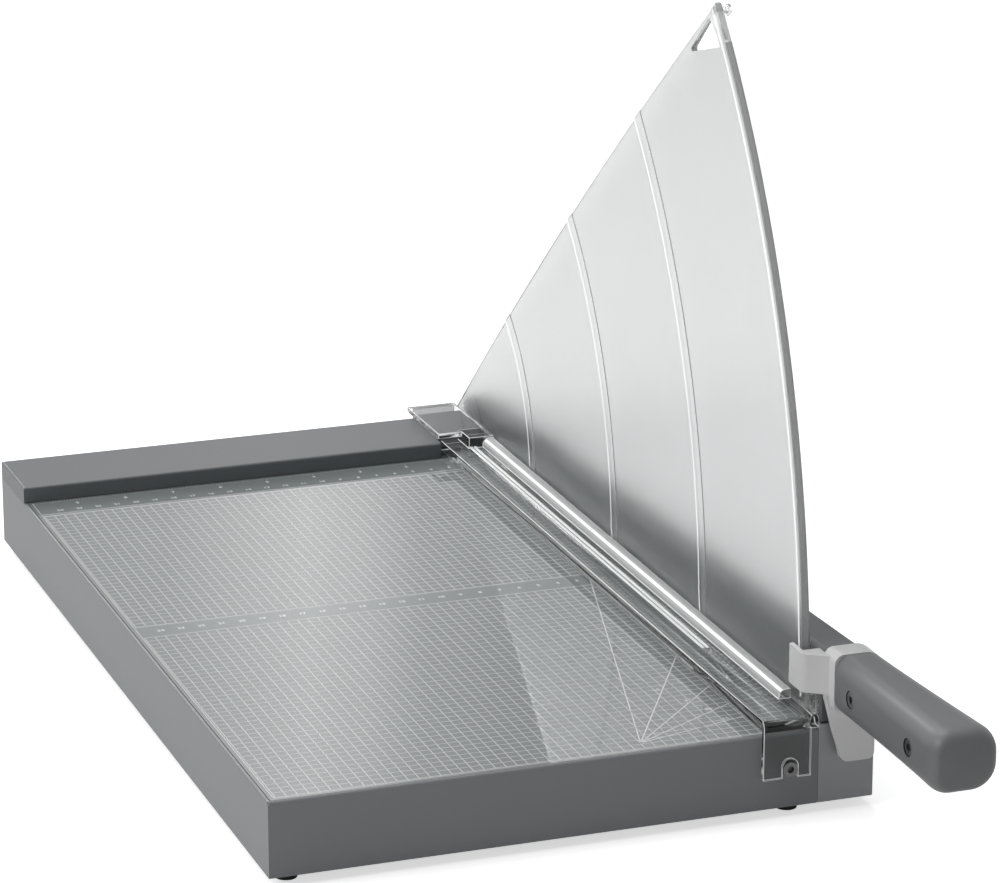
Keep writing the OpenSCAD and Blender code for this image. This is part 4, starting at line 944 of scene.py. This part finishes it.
# %% Card behind, seen in the varnish and in clear pieces
CARD_DISTANCE = 2000.0
CARD_RISE = 0.36
card_material = bpy.data.materials.new("card behind")
card_material.use_nodes = True
card_material.node_tree.nodes.clear()
card_light = add_node(card_material, "ShaderNodeEmission")
add_node(card_material, "ShaderNodeOutputMaterial", [("Surface", card_light.outputs["Emission"])])
across = add_node(card_material, "ShaderNodeSeparateXYZ", [("Vector", object_place(card_material))])
CARD_HALF = 0.75
CARD_LOW, CARD_HIGH = -0.6, 1.2
share_across = add_node(card_material, "ShaderNodeMapRange", [("Value", across.outputs["X"])])
share_across.inputs["From Min"].default_value = -CARD_HALF
share_across.inputs["From Max"].default_value = CARD_HALF
band = add_node(card_material, "ShaderNodeValToRGB", [("Fac", share_across.outputs["Result"])])


table_middle = at(-110.0, 215.0, 0.0)
to_middle = table_middle - CAMERA_PLACE
card_turn = math.atan2(to_middle[0], to_middle[1])


def card_share(azimuth):
    """Where the camera sees a direction mirrored in the table end on the card: zero to one.

    The way from the camera over the table to the card is as long as both distances together,
    so a turn of the view by one angle moves the mirrored point by the tangent times that way.
    """
    way = float(np.hypot(to_middle[0], to_middle[1])) + CARD_DISTANCE * MM
    return 0.5 + math.tan(math.radians(azimuth) - card_turn) * way / (2 * CARD_HALF)


CARD_LEVELS = ((9.0, 0.44), (13.2, 0.50), (15.2, 0.78), (16.4, 1.34), (17.1, 1.66), (17.9, 1.34),
               (18.7, 0.74), (20.0, 0.42), (28.0, 0.34))
CARD_TOP = 2.0
while len(band.color_ramp.elements) < len(CARD_LEVELS):
    band.color_ramp.elements.new(0.5)
for stop, (azimuth, strength) in zip(band.color_ramp.elements, CARD_LEVELS):
    stop.position = card_share(azimuth)
for stop, (azimuth, strength) in zip(band.color_ramp.elements, CARD_LEVELS):
    stop.color = (*[strength / CARD_TOP] * 3, 1.0)
card_light.inputs["Strength"].default_value = CARD_TOP
card_material.node_tree.links.new(band.outputs["Color"], card_light.inputs["Color"])

card_mesh = bpy.data.meshes.new("card")
card_mesh.from_pydata([(-CARD_HALF, 0, CARD_LOW), (CARD_HALF, 0, CARD_LOW),
                       (CARD_HALF, 0, CARD_HIGH), (-CARD_HALF, 0, CARD_HIGH)], [], [[0, 1, 2, 3]])
card_mesh.materials.append(card_material)
card = bpy.data.objects.new("card", card_mesh)
card_way = np.array([math.sin(card_turn), math.cos(card_turn), CARD_RISE])
card.location = table_middle + CARD_DISTANCE * MM * card_way
card.rotation_euler = (0, 0, -card_turn)
card.visible_camera = False
card.visible_diffuse = False
card.visible_transmission = True
card.visible_shadow = False
scene.collection.objects.link(card)

# %% Lamps


def soft_lamp(name, place, width, height, power, aim=(0.0, 0.0, 0.05)):
    """A rectangular area lamp at a place, turned so that it faces the point it is aimed at."""
    lamp = bpy.data.objects.new(name, bpy.data.lights.new(name, "AREA"))
    lamp.data.shape = "RECTANGLE"
    lamp.data.size = width
    lamp.data.size_y = height
    lamp.data.energy = power
    lamp.location = place
    towards = np.array(aim) - np.array(place)
    turn = math.atan2(towards[0], -towards[1])
    tilt = math.acos(-towards[2] / float(np.linalg.norm(towards)))
    lamp.rotation_euler = (tilt, 0, turn + math.pi)
    lamp.visible_camera = False
    scene.collection.objects.link(lamp)
    return lamp


soft_lamp("key lamp", (-2.2, -0.3, 1.9), 1.6, 1.6, 34)
soft_lamp("top lamp", (-0.2, 0.9, 2.4), 1.8, 1.8, 31.5)
back_lamp = soft_lamp("back lamp", (-0.30, 2.10, 1.10), 0.5, 0.4, 0.45)
back_lamp.data.spread = math.radians(42)
